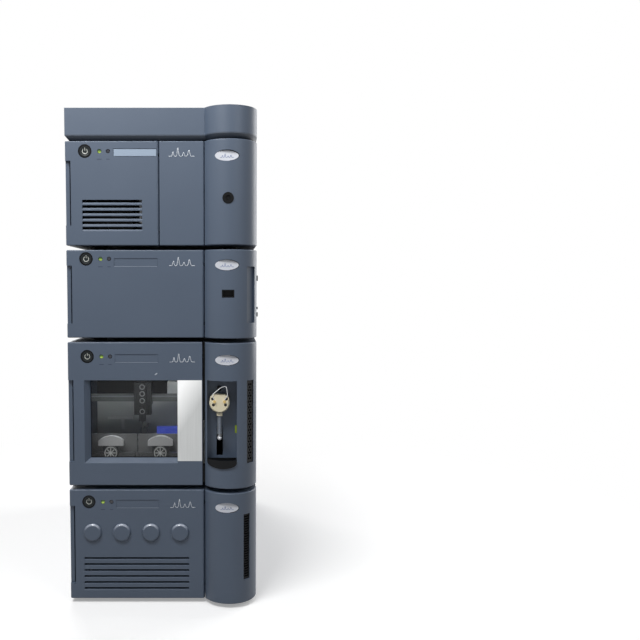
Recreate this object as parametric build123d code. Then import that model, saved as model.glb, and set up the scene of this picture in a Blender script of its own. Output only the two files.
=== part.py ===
"""Liquid chromatography system: a solvent tray on a stack of four bench modules.

From the bottom up: solvent pump, sample changer, column oven and detector, with an open tray for
the solvent bottles on top. Every module is a sheet metal enclosure with a moulded door at the left
and a rounded tower at the right. Millimetres, X to the right, Y to the back, Z up, origin on the
bench under the middle of the stack.
"""

import os
from math import radians, sin, sqrt

from build123d import *

os.makedirs("parts", exist_ok=True)

# ---- the family's common sizes ------------------------------------------------------------------
WIDTH = 343.0               # front panels, edge to edge
DEPTH = 711.0               # drip cup's lip to the rear edges
SHEET = 1.5                 # enclosure sheet metal
WALL = 3.0                  # moulded walls
SIDE_STEP = 1.0             # enclosure sides stand this far inside the front panels' edges
PANEL_DEPTH = 27.0          # front panels, from their face back to the enclosure
EDGE_ROUND = 2.0            # long edges of the mouldings
CORNER_ROUND = 3.0          # upright left edge of a front panel

TOWER_WIDTH = 94.0          # right edge to the seam beside the door
TOWER_RADIUS = 50.0         # the tower's round face, tangent to the right side
SEAM = 0.8                  # gap between door and tower
WINDOW_SEAM = 4.6           # the same gap beside the glazed door

FOOT_HEIGHT = 8.0
FOOT_RADIUS = 14.0
FOOT_TAPER = 2.0
FOOT_INSET = 46.0           # foot centre to the enclosure's sides, front and rear

# ---- the modules, from the bench up -------------------------------------------------------------
PUMP_HEIGHT = 204.0
SAMPLER_HEIGHT = 263.0
COLUMN_HEIGHT = 158.0
DETECTOR_HEIGHT = 185.0
TRAY_FACE = 48.6            # upright part of the tray's wall
TRAY_SLANT = 9.4            # height of its undercut
TRAY_UNDERCUT = 8.0         # the undercut's run inwards
TRAY_WALL = 4.0
TRAY_FLOOR = 5.0            # floor thickness
LINER_THICK = 3.0
LINER_GAP = 1.0             # liner edge to the tray's wall
LINER_RIB = 1.6             # ribs that keep the bottles out of spilt solvent
LINER_RIBS = 9

BAY_DEPTH = 104.0           # enclosure front to the bulkhead behind the doors
SAMPLER_BAY = 262.0
REAR_INSET = 12.0           # rear wall, in from the enclosure's rear edges

# ---- hinges -------------------------------------------------------------------------------------
HINGE_ROUND = 5.0           # knuckle radius, and the hinge axis in from the door's edges
PIN_RADIUS = 1.5
PIN_REACH = 8.0             # pin beyond its lug, each way
PIN_CLEAR = 0.08            # radial, in the knuckle
LUG_HEIGHT = 6.0
LUG_RADIUS = 3.0
LUG_CLEAR = 0.4
LUG_INSET = 25.0            # lug centre to the panel's top and bottom edges
POST_THICK = 3.0
DOOR_CLEAR = 2.0            # door's rear edge to the enclosure

# ---- finger recess in the left edge of each front panel ------------------------------------------
RECESS_WIDTH = 10.0
RECESS_STEP = 6.0           # lip in the recess, behind the panel's face
RECESS_LIP = 6.9            # width of that lip, the rest is a slot behind the panel's skin
COVER_FLANGE = 8.0          # turned-in front edge of the enclosure's left side

# ---- switch and lamps, measured from the panel's left edge ---------------------------------------
SWITCH_X = 35.7
SWITCH_HOLE = 12.2
GUIDE_RADIUS = 11.9
GUIDE_BORE = 9.6
BUTTON_RADIUS = 9.3
BUTTON_DISH = 1.2
BUTTON_TRAVEL = 2.0
BUTTON_THICK = 6.0
STEM_RADIUS = 4.0
STEM_CLEAR = 0.4
GUIDE_FLANGE = 15.0
FLANGE_THICK = 2.0
RUN_LIGHT_X = 61.5
FAULT_LIGHT_X = 77.0
LIGHT_HOLE = 3.8
LIGHT_RADIUS = 2.9
LIGHT_SET_BACK = 0.6
BRACKET_HEIGHT = 31.0       # switch bracket, down from the enclosure's top
BRACKET_END_X = 92.0
TOP_RAIL = 8.0              # rail from the bracket to the hinge post

# ---- name field and badge -------------------------------------------------------------------------
FIELD_X = 86.0
FIELD_END = 3.6             # field's right end to the lamp door's right edge
FIELD_HEIGHT = 14.6
FIELD_DEPTH = 0.8
PLATE_SET_BACK = 0.1
PLATE_MARGIN = 1.3          # name plate's edges to the field's
BADGE_FROM_RIGHT = 54.0
BADGE_WIDTH = 42.0
BADGE_HEIGHT = 18.4
BADGE_THICK = 1.6
BADGE_GAP = 0.6             # badge rim to the pocket's wall
POCKET_DEPTH = 6.0          # pocket floor behind the tower's foremost line

# ---- louvres --------------------------------------------------------------------------------------
LOUVRE_COUNT = 6
LOUVRE_BEVEL = 2.2          # depth of the slope below each slot
LAMP_LOUVRE_SLOT = 4.7      # height of each slot, and of the slope below it
LAMP_LOUVRE_SLOPE = 3.0
LAMP_LOUVRE_PITCH = 9.6
LAMP_LOUVRE_X = 30.0
LAMP_LOUVRE_LENGTH = 107.0
LAMP_LOUVRE_DROP = 106.0
PUMP_LOUVRE_SLOT = 3.6
PUMP_LOUVRE_SLOPE = 1.4
PUMP_LOUVRE_PITCH = 11.3
PUMP_LOUVRE_X = 26.0
PUMP_LOUVRE_LENGTH = 193.0
PUMP_LOUVRE_DROP = 128.0

# ---- detector -------------------------------------------------------------------------------------
LAMP_DOOR_WIDTH = 167.6
PORT_FROM_RIGHT = 52.0
PLUG_RADIUS = 10.0
PLUG_DROP = 103.0
PLUG_PROUD = 1.0
PLUG_LENGTH = 12.0
PLUG_DISH = 5.6
PLUG_DISH_DEPTH = 2.0
PLUG_CLEAR = 0.1
LAMP_X = 62.0               # lamp housing's centre from the left edge
LAMP_WIDTH = 96.0
LAMP_HEIGHT = 96.0
LAMP_DEPTH = 52.0
LAMP_GROOVES = 7            # cooling grooves in its front
LAMP_GROOVE = 3.0
LAMP_GROOVE_DEPTH = 9.0
LAMP_GROOVE_PITCH = 12.0
LAMP_RIM = 8.0
LAMP_SCREW = 4.0
LAMP_SCREW_LENGTH = 9.0
LAMP_SCREW_INSET = 5.0
CELL_X = 140.0
CELL_WIDTH = 38.0
CELL_HEIGHT = 60.0
CELL_DEPTH = 34.0
CELL_CORNER = 4.0
CELL_STEM = 4.5
CELL_STEM_LENGTH = 10.0
CELL_KNOB = 9.0
CELL_KNOB_LENGTH = 8.0

# ---- column oven ----------------------------------------------------------------------------------
OVEN_LENGTH = 150.0         # swinging compartment, front to rear
OVEN_CLEAR = 1.0            # compartment to the enclosure, all round
OVEN_PORT_WIDTH = 22.0
OVEN_PORT_HEIGHT = 14.0
OVEN_PORT_DROP = 78.0
OVEN_PORT_WALL = 1.6
OVEN_PORT_LENGTH = 14.0
GRIP_ANGLES = (39.0, 66.0)  # grip pocket on the tower's flank, from its foremost line
GRIP_DROPS = (29.7, 130.5)
GRIP_DEPTH = 5.0
FITTING_PROUD = 2.5
FITTING_Y = 62.0            # fittings behind the tower's foremost line
FITTINGS = ((50.3, 5.0), (105.3, 2.4), (117.0, 4.0))   # drop and radius of each
TROUGH_WIDTH = 44.0
TROUGH_HEIGHT = 52.0
TROUGH_FRONT = 44.0         # trough's front end behind the tower's foremost line
TROUGH_WALL = 7.0
TROUGH_GAP = 1.0            # trough's rear end to the knuckle
CRADLE = 9.0                # separation column's axis to the trough's floor
CRADLE_REACH = 5.0          # cradle beyond that axis
COLUMN_RADIUS = 3.2
COLUMN_CLEAR = 0.1
COLUMN_NUT = 5.5
COLUMN_NUT_LENGTH = 14.0
COLUMN_END_GAP = 4.0
SINK_X = 122.0              # finned block's centre from the left edge
SINK_WIDTH = 150.0
SINK_HEIGHT = 84.0
FIN_COUNT = 16
FIN_THICK = 2.0
FIN_HEIGHT = 28.0
FIN_BASE = 6.0

# ---- sample changer -------------------------------------------------------------------------------
WINDOW_X = 29.2
WINDOW_DROPS = (69.3, 221.6)
STRIP_X = 198.9
STRIP_DROP = 217.7
STRIP_THICK = 1.5
STRIP_END = 1.2             # strip's right edge to the door's
BEVEL_SIDE = 10.0
BEVEL_BOTTOM = 8.6
BEVEL_DEPTH = 11.0
GLASS_THICK = 3.0
GLASS_LAP = 5.0
CHAMBER_FLOOR = 36.0        # chamber floor above the enclosure's underside
CARRIER_X = (70.8, 163.5)   # carrier centres from the panel's left edge
CARRIER_WIDTH = 88.0
CARRIER_LENGTH = 134.0
CARRIER_BACK = 18.0         # carrier's front face behind the enclosure's front
CARRIER_FEET = 3.0
CARRIER_DECK = 5.0
CARRIER_RIM = 6.0
CARRIER_RIM_WIDTH = 3.0
PULL_WIDTH = 47.0
PULL_HEIGHT = 18.0
PULL_BAND = 9.0
PULL_RISE = 29.0            # pull's underside above the chamber floor
PULL_THICK = 6.0
KNOB_RADIUS = 11.8
KNOB_RISE = 16.0            # knob centre above the chamber floor
KNOB_THICK = 8.0
RAIL_DROP = 128.5
RAIL_HEIGHT = 14.0
RAIL_DEPTH = 16.0
RAIL_BACK = 150.0           # rail's front face behind the enclosure's front
CARRIAGE_X = 117.0
CARRIAGE_WIDTH = 34.0
CARRIAGE_HEIGHT = 66.0
CARRIAGE_DEPTH = 18.0
CARRIAGE_RISE = 34.0        # carriage top above the rail's middle
CARRIAGE_CLEAR = 0.3
CARRIAGE_WALL = 5.0         # its wall behind the rail
CARRIAGE_REACH = 60.0       # travel each way
ARM_WIDTH = 14.0
ARM_DEPTH = 10.0
ARM_LENGTH = 78.0
ARM_TRAVEL = 22.0
ARM_SCREW = 3.2
ARM_SCREW_PROUD = 1.4
ARM_SCREW_DROPS = (8.0, 22.0, 36.0, 58.0)
NEEDLE_RADIUS = 0.8
NEEDLE_LENGTH = 16.0
NEEDLE_HUB = 3.0            # radius and half length of the hub over it

# ---- sample changer's syringe niche ----------------------------------------------------------------
NICHE_FROM_RIGHT = (36.3, 90.2)
NICHE_DROPS = (67.9, 216.0)
NICHE_BACK = 45.0           # back wall behind the tower's foremost line
VALVE_FROM_RIGHT = 67.7
VALVE_DROP = 109.5
VALVE_RADIUS = 18.3
VALVE_FLAT = 14.2           # flat top above the valve's centre
VALVE_THICK = 20.0
VALVE_STANDOFF = 6.0
VALVE_CHAMFER = 2.0
PORTS = ((12.4, 7.3), (11.0, -3.8))   # ports and ferrules, from the valve's centre
PORT_BOSS = 5.0             # round boss about each upper port
PORT_RADIUS = 2.6
PORT_DEPTH = 5.0
FERRULE_X = 9.0
FERRULE_RISE = 2.4
FERRULE_RADIUS = 2.4
FERRULE_PROUD = 3.0
NECK_WIDTH = 10.2
NECK_LENGTH = 6.2
BARREL_RADIUS = 4.3
BARREL_BORE = 1.3
BARREL_LENGTH = 33.4
BARREL_END = 2.0            # glass above the bore
COLLAR_RADIUS = 5.4
COLLAR_THICK = 2.4
PLUNGER_ROD = 1.0
PLUNGER_EXTENDED = 4.7      # bare rod between barrel and ball at rest
BALL_RADIUS = 4.0
PLUNGER_TRAVEL = 22.0
SLOT_WIDTH = 11.5
SLOT_RISE = 18.0            # slot's top above the ball
YOKE_WIDTH = 7.0
YOKE_HEIGHT = 5.0
YOKE_REACH = 6.0            # yoke behind the niche's back wall
CUP_HEIGHT = 5.0
CUP_DEPTH = 27.0            # basin, from its lip back
CUP_APRON = 10.0            # apron below the niche's sill
CUP_PROUD = 2.5
CUP_WALL = 2.0
CUP_CLEAR = 0.3
LOOP_TUBE = 0.8             # capillary radius
LOOP_TURNS = ((-13.6, 14.6), (2.5, 28.2), (12.6, 31.6), (14.8, 13.0))   # from the valve's centre
LOOP_BENDS = (4.0, 5.0, 3.8, 3.0)
VENT_DEPTH = 2.0            # vent inserts behind the tower's face
VENT_THICK = 2.0
SAMPLER_VENT_ANGLES = (39.6, 61.0)
SAMPLER_VENT_DROPS = (67.9, 218.6)
SAMPLER_VENT_HOLE = 3.6
SAMPLER_VENT_PITCH = 5.2
PUMP_VENT_ANGLES = (31.5, 48.0)
PUMP_VENT_DROPS = (40.0, 161.0)
PUMP_VENT_FIN = 1.6
PUMP_VENT_PITCH = 4.6

# ---- solvent pump ----------------------------------------------------------------------------------
DOME_INSETS = (42.2, 45.6)  # first and last cap, from the door's left and right edges
DOMES = 4
DOME_DROP = 79.5
DOME_RADIUS = 16.6
DOME_HEIGHT = 5.0
DOME_ROUND = 4.0
HEAD_RADIUS = 21.0
HEAD_LENGTH = 46.0
HEAD_CHAMFER = 3.0
HEAD_COLLAR = 24.0          # radius of the collar behind the head
COLLAR_WIDTH = 10.0
KNOB_NUT_RADIUS = 11.0
KNOB_NUT_LENGTH = 14.0
VALVE_NUT_RADIUS = 6.5
VALVE_NUT_REACH = 17.0
LEAK_TRAY_HEIGHT = 14.0
LEAK_TRAY_DEPTH = 92.0
LEAK_TRAY_WALL = 2.0
LEAK_TRAY_INSET = 12.0

# ---- rear walls -------------------------------------------------------------------------------------
INLET_X = 58.0              # inlet's centre from the left edge
INLET_RISE = 34.0           # and above the enclosure's underside
INLET_WIDTH = 48.0
INLET_HEIGHT = 28.0
INLET_DEPTH = 20.0
INLET_RIM = 3.0
INLET_MOUTH = (26.0, 18.0, 15.0)   # width, height and depth
BLADES = ((-7.0, -1.5), (0.0, 2.5), (7.0, -1.5))   # across and up from the mouth's centre
BLADE_THICK = 2.0
BLADE_HEIGHT = 5.0
BLADE_SET_BACK = 2.0
JACK_X = 118.0
JACK_WIDTH = 16.0
JACK_HEIGHT = 14.0
JACK_WALL = 2.0
JACK_DEPTH = 9.0
SOCKET_DEPTH = 14.0
SOCKET_PROUD = 2.0
TERMINAL_X = 168.0
TERMINAL_WIDTH = 44.0
TERMINALS = 6
TERMINAL_HOLE = 1.8
TERMINAL_HOLE_DEPTH = 2.0
VENT_SLOTS = 9
VENT_SLOT = 4.0
VENT_SLOT_PITCH = 11.0
VENT_SLOT_LENGTH = 84.0
VENT_SLOT_X = 270.0         # centre of the rear vent from the left edge

# ---- worked out from the sizes above ---------------------------------------------------------------
LEFT = -(WIDTH + FITTING_PROUD) / 2
RIGHT = LEFT + WIDTH
REAR = DEPTH / 2
APEX = -DEPTH / 2 + CUP_PROUD                 # the tower's foremost line
AXIS_X = RIGHT - TOWER_RADIUS
AXIS_Y = APEX + TOWER_RADIUS
SEAM_X = RIGHT - TOWER_WIDTH
FACE = AXIS_Y - sqrt(TOWER_RADIUS**2 - (AXIS_X - SEAM_X) ** 2)   # the flat panels' plane
FRONT = FACE + PANEL_DEPTH                    # the enclosures' front edges
INNER_LEFT = LEFT + SIDE_STEP + SHEET
INNER_RIGHT = RIGHT - SIDE_STEP - SHEET
DIVIDER_RIGHT = SEAM_X - OVEN_CLEAR
DIVIDER_LEFT = DIVIDER_RIGHT - SHEET
HINGE_Y = FACE + HINGE_ROUND
LAMP_HINGE_X = LEFT + LAMP_DOOR_WIDTH - HINGE_ROUND
FIELD_WIDTH = LAMP_DOOR_WIDTH - FIELD_X - FIELD_END
OVEN_BACK = APEX + OVEN_LENGTH


class Module:
    """One enclosure of the stack: its levels and the places of its front panel's features."""

    def __init__(self, name, bottom, height, switch_drop, field_drop, badge_drop, recess, seam=SEAM,
                 bay=BAY_DEPTH):
        self.name = name
        self.bottom = bottom
        self.top = bottom + height
        self.switch_z = self.top - switch_drop
        self.field_z = self.top - field_drop
        self.badge_z = self.top - badge_drop
        self.recess = recess
        self.door_right = SEAM_X - seam
        self.hinge_x = self.door_right - HINGE_ROUND
        self.bulkhead = FRONT + bay


pump = Module("pump", FOOT_HEIGHT, PUMP_HEIGHT, 22.5, 26.2, 27.2, (30.0, 28.5))
sampler = Module("sampler", pump.top + FOOT_HEIGHT, SAMPLER_HEIGHT, 26.1, 29.2, 30.5,
                 (69.3, 43.7), WINDOW_SEAM, SAMPLER_BAY)
column = Module("column", sampler.top + FOOT_HEIGHT, COLUMN_HEIGHT, 15.9, 22.0, 27.4,
                (27.9, 25.6))
detector = Module("detector", column.top + FOOT_HEIGHT, DETECTOR_HEIGHT, 17.9, 20.5, 29.3,
                  (34.8, 35.6))
MODULES = (pump, sampler, column, detector)


# ---- helpers ---------------------------------------------------------------------------------------
def block(x0, x1, y0, y1, z0, z1):
    """Box between two corners."""
    return Pos((x0 + x1) / 2, (y0 + y1) / 2, (z0 + z1) / 2) * Box(x1 - x0, y1 - y0, z1 - z0)


def rod_x(radius, x0, x1, y, z):
    """Cylinder along X."""
    return Pos((x0 + x1) / 2, y, z) * Rot(0, 90, 0) * Cylinder(radius, x1 - x0)


def rod_y(radius, x, y0, y1, z):
    """Cylinder along Y."""
    return Pos(x, (y0 + y1) / 2, z) * Rot(90, 0, 0) * Cylinder(radius, y1 - y0)


def rod_z(radius, x, y, z0, z1):
    """Cylinder along Z."""
    return Pos(x, y, (z0 + z1) / 2) * Cylinder(radius, z1 - z0)


def front_plane(x, y, z):
    """Plane that looks out of the front, with its own X to the right and its Y up."""
    return Plane(origin=(x, y, z), x_dir=(1, 0, 0), z_dir=(0, -1, 0))


def closed_face(points):
    """Face inside a closed line through points."""
    return make_face(Polyline(*points, close=True))


def write(part, name):
    """One STEP file for one piece, or for one group of like pieces."""
    solids = list(part.solids()) if hasattr(part, "solids") else list(part)
    body = solids[0] if len(solids) == 1 else Compound(children=solids)
    body.label = name
    export_step(body, f"parts/{name}.step")


# ---- the plan that all towers and the tray share ------------------------------------------------------
def front_plan(left, back, inset=0.0, radius=TOWER_RADIUS):
    """Plan from left to the right side, round at its front right, drawn in by inset all round."""
    round_now = radius - inset
    seam = SEAM_X + inset
    start = AXIS_Y - sqrt(round_now**2 - (AXIS_X - seam) ** 2)
    right = RIGHT - inset
    lines = [
        ThreePointArc((seam, start), (AXIS_X, AXIS_Y - round_now), (right, AXIS_Y)),
        Line((right, AXIS_Y), (right, back)),
        Line((right, back), (left, back)),
    ]
    if left < seam:
        face = FACE + inset
        knee = AXIS_X - sqrt(round_now**2 - (AXIS_Y - face) ** 2)
        lines[0] = ThreePointArc((knee, face), (AXIS_X, AXIS_Y - round_now), (right, AXIS_Y))
        lines += [Line((left, back), (left, face)), Line((left, face), (knee, face))]
    else:
        lines.append(Line((seam, back), (seam, start)))
    return make_face(lines)


def prism(plan, z0, z1):
    """Plan face lifted from z0 to z1."""
    return extrude(Pos(0, 0, z0) * plan, amount=z1 - z0)


# ---- enclosure ------------------------------------------------------------------------------------------
def hinge_lug(x, y, reach_to, z):
    """Eye of a hinge with the arm that carries it back to the chassis."""
    arm = block(x - LUG_RADIUS, x + LUG_RADIUS - 0.6, y, reach_to, z - LUG_HEIGHT / 2, z + LUG_HEIGHT / 2)
    eye = rod_z(LUG_RADIUS, x, y, z - LUG_HEIGHT / 2, z + LUG_HEIGHT / 2)
    bore = rod_z(PIN_RADIUS, x, y, z - LUG_HEIGHT, z + LUG_HEIGHT)
    return arm + eye - bore


def hinge_pin(x, y, z):
    """Pin through one lug."""
    reach = LUG_HEIGHT / 2 + PIN_REACH
    return rod_z(PIN_RADIUS, x, y, z - reach, z + reach)


def lug_levels(module):
    """Heights of the two lugs of a module's door."""
    return (module.bottom + LUG_INSET, module.top - LUG_INSET)


def hinge_places(module):
    """Plan position of each hinge axis on a module's chassis, and how far back its lugs reach."""
    door_hinge = LAMP_HINGE_X if module is detector else module.hinge_x
    places = [(door_hinge, HINGE_Y, FRONT + POST_THICK)]
    if module is column:
        places.append((RIGHT - HINGE_ROUND, OVEN_BACK - HINGE_ROUND, module.bulkhead))
    return places


def rear_cutouts(module):
    """Openings of the rear wall: mains inlet, sockets and exhaust slots."""
    y0, y1 = REAR - REAR_INSET - 2 * SHEET, REAR
    level = module.bottom + INLET_RISE
    cuts = []
    for x, width, height in (
        (INLET_X, INLET_WIDTH, INLET_HEIGHT),
        (JACK_X, JACK_WIDTH, JACK_HEIGHT),
        (TERMINAL_X, TERMINAL_WIDTH, JACK_HEIGHT),
    ):
        centre = LEFT + x
        cuts.append(block(centre - width / 2, centre + width / 2, y0, y1, level - height / 2,
                          level + height / 2))
    middle = (module.bottom + module.top) / 2
    for i in range(VENT_SLOTS):
        x = LEFT + VENT_SLOT_X + (i - (VENT_SLOTS - 1) / 2) * VENT_SLOT_PITCH
        cuts.append(block(x - VENT_SLOT / 2, x + VENT_SLOT / 2, y0, y1, middle - VENT_SLOT_LENGTH / 2,
                          middle + VENT_SLOT_LENGTH / 2))
    return cuts


def make_chassis(module):
    """Base pan, bulkhead, rear wall, tower partition and switch bracket, welded into one."""
    low, high = module.bottom, module.top - SHEET
    pan_top = low + SHEET
    chassis = block(INNER_LEFT, INNER_RIGHT, FRONT, REAR, low, pan_top)
    chassis += block(INNER_LEFT, INNER_RIGHT, module.bulkhead, module.bulkhead + SHEET, pan_top, high)
    rear = REAR - REAR_INSET
    chassis += block(INNER_LEFT, INNER_RIGHT, rear - SHEET, rear, pan_top, high)
    chassis += block(DIVIDER_LEFT, DIVIDER_RIGHT, FRONT, module.bulkhead, pan_top, high)
    post_right = DIVIDER_RIGHT if module is column else SEAM_X + WALL
    chassis += block(module.hinge_x - LUG_RADIUS - 1, post_right, FRONT, FRONT + POST_THICK, pan_top, high)
    if module is detector:
        chassis += block(LAMP_HINGE_X - LUG_RADIUS - 1, LAMP_HINGE_X + 4 * LUG_RADIUS, FRONT,
                         FRONT + POST_THICK, pan_top, high)
    chassis += block(INNER_LEFT, LEFT + BRACKET_END_X, FRONT, FRONT + SHEET, high - BRACKET_HEIGHT, high)
    chassis += block(INNER_LEFT, module.hinge_x, FRONT, FRONT + SHEET, high - TOP_RAIL, high)
    for x, y, reach_to in hinge_places(module):
        for z in lug_levels(module):
            chassis += hinge_lug(x, y, reach_to, z)
    if module is sampler:
        floor = low + CHAMBER_FLOOR
        chassis += block(INNER_LEFT, DIVIDER_LEFT, FRONT + SHEET, module.bulkhead, floor - SHEET, floor)
    chassis -= rod_y(STEM_RADIUS + STEM_CLEAR, LEFT + SWITCH_X, FRONT - 1, FRONT + 2 * SHEET, module.switch_z)
    for cut in rear_cutouts(module):
        chassis -= cut
    return chassis


def make_cover(module):
    """Top and sides of the enclosure, one bent sheet with a turned-in flange at its front left."""
    low, high = module.bottom, module.top - SHEET
    right_front = module.bulkhead if module is column else FRONT
    cover = block(LEFT + SIDE_STEP, RIGHT - SIDE_STEP, FRONT, REAR, high, module.top)
    cover += block(LEFT + SIDE_STEP, INNER_LEFT, FRONT, REAR, low, high)
    cover += block(INNER_RIGHT, RIGHT - SIDE_STEP, right_front, REAR, low, high)
    flange = block(INNER_LEFT, INNER_LEFT + COVER_FLANGE, FRONT, FRONT + SHEET, low + SHEET,
                   high - BRACKET_HEIGHT)
    return cover + flange


def make_feet():
    """Four tapered rubber feet under each enclosure."""
    feet = []
    for module in MODULES:
        for x in (INNER_LEFT + FOOT_INSET, INNER_RIGHT - FOOT_INSET):
            for y in (FRONT + FOOT_INSET, REAR - FOOT_INSET):
                foot = Cone(FOOT_RADIUS - FOOT_TAPER, FOOT_RADIUS, FOOT_HEIGHT)
                feet.append(Pos(x, y, module.bottom - FOOT_HEIGHT / 2) * foot)
    return feet


# ---- front panels ------------------------------------------------------------------------------------------
def panel_shell(left, right, module, hinge_round, back, recess):
    """Moulded front panel: a shallow tray, open to the rear, with its corners rounded."""
    low, high = module.bottom, module.top
    plan = closed_face([(left, FACE), (right, FACE), (right, back), (left, back)])
    corners = plan.vertices()
    right_corner = [v for v in corners if v.X > right - 0.1 and v.Y < FACE + 0.1]
    plan = fillet(right_corner, hinge_round)
    left_corner = [v for v in plan.vertices() if v.X < left + 0.1 and v.Y < FACE + 0.1]
    if recess:
        plan = fillet(left_corner, CORNER_ROUND)
    outer = prism(plan, low, high)
    rim = [e for e in outer.edges() if e.center().Y < back - 0.1 and abs(e.tangent_at(0.5).Z) < 0.1]
    outer = fillet(rim, EDGE_ROUND)
    inner = block(left + WALL, right - WALL, FACE + WALL, back + 1, low + WALL, high - WALL)
    if recess:
        top, bottom = high - module.recess[0], low + module.recess[1]
        lip = FACE + RECESS_STEP
        outer -= block(left - 1, left + RECESS_WIDTH, FACE - 1, lip, bottom, top)
        inner -= block(left - 1, left + RECESS_WIDTH + WALL, FACE, lip + WALL, bottom - WALL, top + WALL)
        outer -= block(left + RECESS_LIP, left + RECESS_WIDTH, FACE, lip + WALL + 1, bottom, top)
    return outer - inner


def hinged_panel(left, right, module, recess=True, hinge_round=HINGE_ROUND):
    """Front panel with the knuckle of its hinge along its right edge."""
    back = FRONT - DOOR_CLEAR
    x = right - HINGE_ROUND
    panel = panel_shell(left, right, module, hinge_round, back, recess)
    panel += rod_z(HINGE_ROUND, x, HINGE_Y, module.bottom + WALL, module.top - WALL)
    room = LUG_RADIUS + LUG_CLEAR
    half = LUG_HEIGHT / 2 + LUG_CLEAR
    for z in lug_levels(module):
        panel -= block(x - room, right + 1, HINGE_Y - room, back + 1, z - half, z + half)
        reach = LUG_HEIGHT / 2 + PIN_REACH + LUG_CLEAR
        panel -= rod_z(PIN_RADIUS + PIN_CLEAR, x, HINGE_Y, z - reach, z + reach)
    return panel


def switch_holes(module):
    """Round holes for the push switch and the two lamps."""
    y0, y1 = FACE - 1, FACE + WALL + 1
    holes = rod_y(SWITCH_HOLE, LEFT + SWITCH_X, y0, y1, module.switch_z)
    for x in (RUN_LIGHT_X, FAULT_LIGHT_X):
        holes += rod_y(LIGHT_HOLE, LEFT + x, y0, y1, module.switch_z)
    return holes


def name_field(module, front=FACE - 1, margin=0.0):
    """Block in the shallow field for the module's name, from front back to the field's floor."""
    x, half = LEFT + FIELD_X, FIELD_HEIGHT / 2 - margin
    return block(x + margin, x + FIELD_WIDTH - margin, front, FACE + FIELD_DEPTH, module.field_z - half,
                 module.field_z + half)


def louvre_slots(x, length, top, pitch, slot, slope):
    """Column of slots through a panel's skin, each with a slope below it that sheds drips forwards."""
    slots = []
    for i in range(LOUVRE_COUNT):
        high = top - i * pitch + slot / 2
        low = high - slot
        profile = closed_face([(x, FACE - 1, high), (x, FACE + WALL + 1, high), (x, FACE + WALL + 1, low),
                               (x, FACE + LOUVRE_BEVEL, low), (x, FACE, low - slope),
                               (x, FACE - 1, low - slope)])
        slots.append(extrude(profile, amount=length, dir=(1, 0, 0)))
    return slots


def make_lamp_door():
    """Detector's left door: over the lamp, louvred, with a coloured name plate."""
    door = hinged_panel(LEFT, LEFT + LAMP_DOOR_WIDTH, detector)
    door -= switch_holes(detector)
    door -= name_field(detector)
    first = detector.top - LAMP_LOUVRE_DROP
    for slot in louvre_slots(LEFT + LAMP_LOUVRE_X, LAMP_LOUVRE_LENGTH, first, LAMP_LOUVRE_PITCH,
                             LAMP_LOUVRE_SLOT, LAMP_LOUVRE_SLOPE):
        door -= slot
    return door


def make_name_plate():
    """Coloured plate in the detector's name field."""
    return name_field(detector, FACE + PLATE_SET_BACK, PLATE_MARGIN)


def make_middle_panel():
    """Detector's fixed panel between the lamp door and the tower."""
    left = LEFT + LAMP_DOOR_WIDTH + SEAM
    panel = panel_shell(left, detector.door_right, detector, EDGE_ROUND + 0.5, FRONT, False)
    return panel


def make_column_door():
    """Column oven's door, plain."""
    door = hinged_panel(LEFT, column.door_right, column)
    door -= switch_holes(column)
    return door - name_field(column)


def window_cutter():
    """Window opening with a bevel at its left and bottom, seen from the front."""
    top, bottom = sampler.top - WINDOW_DROPS[0], sampler.top - WINDOW_DROPS[1]
    left, right = LEFT + WINDOW_X, LEFT + STRIP_X
    front = front_plane((left + right) / 2, FACE, (top + bottom) / 2) * Rectangle(right - left, top - bottom)
    left += BEVEL_SIDE
    bottom += BEVEL_BOTTOM
    rear = front_plane((left + right) / 2, FACE + BEVEL_DEPTH, (top + bottom) / 2) * Rectangle(
        right - left, top - bottom)
    opening = loft([front, rear])
    return opening + block(left, right, FACE + BEVEL_DEPTH - 0.01, FRONT, bottom, top)


def glass_box():
    """Corners of the pane, which laps the opening on all sides."""
    return (
        LEFT + WINDOW_X + BEVEL_SIDE - GLASS_LAP,
        LEFT + STRIP_X + GLASS_LAP,
        FACE + BEVEL_DEPTH,
        FACE + BEVEL_DEPTH + GLASS_THICK,
        sampler.top - WINDOW_DROPS[1] + BEVEL_BOTTOM - GLASS_LAP,
        sampler.top - WINDOW_DROPS[0] + GLASS_LAP,
    )


def make_sampler_door():
    """Glazed door: window frame, rebate for the bright strip, and a bed for the pane."""
    right = sampler.door_right
    door = hinged_panel(LEFT, right, sampler, hinge_round=1.5)
    top, bottom = sampler.top - WINDOW_DROPS[0], sampler.top - WINDOW_DROPS[1]
    x0, x1, y0, y1, z0, z1 = glass_box()
    frame = block(LEFT + WINDOW_X - WALL, x1 + WALL, FACE + WALL / 2, y1 + WALL / 2, bottom - WALL,
                  top + GLASS_LAP + WALL)
    door += frame
    door -= window_cutter()
    door -= block(x0, x1, y0, y1 + WALL, z0, z1)
    door -= block(LEFT + STRIP_X, right + 1, FACE - 1, FACE + STRIP_THICK, sampler.top - STRIP_DROP, top)
    door -= switch_holes(sampler)
    return door - name_field(sampler)


def make_window():
    """Tinted pane behind the door's frame."""
    x0, x1, y0, y1, z0, z1 = glass_box()
    return block(x0, x1, y0, y1, z0, z1)


def make_strip():
    """Bright metal strip beside the window, flush with the door."""
    top, bottom = sampler.top - WINDOW_DROPS[0], sampler.top - STRIP_DROP
    return block(LEFT + STRIP_X, sampler.door_right - STRIP_END, FACE, FACE + STRIP_THICK, bottom, top)


def dome_places():
    """Even places of the caps and of the pump heads behind them, along X."""
    first, last = LEFT + DOME_INSETS[0], pump.door_right - DOME_INSETS[1]
    return [first + i * (last - first) / (DOMES - 1) for i in range(DOMES)]


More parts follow.
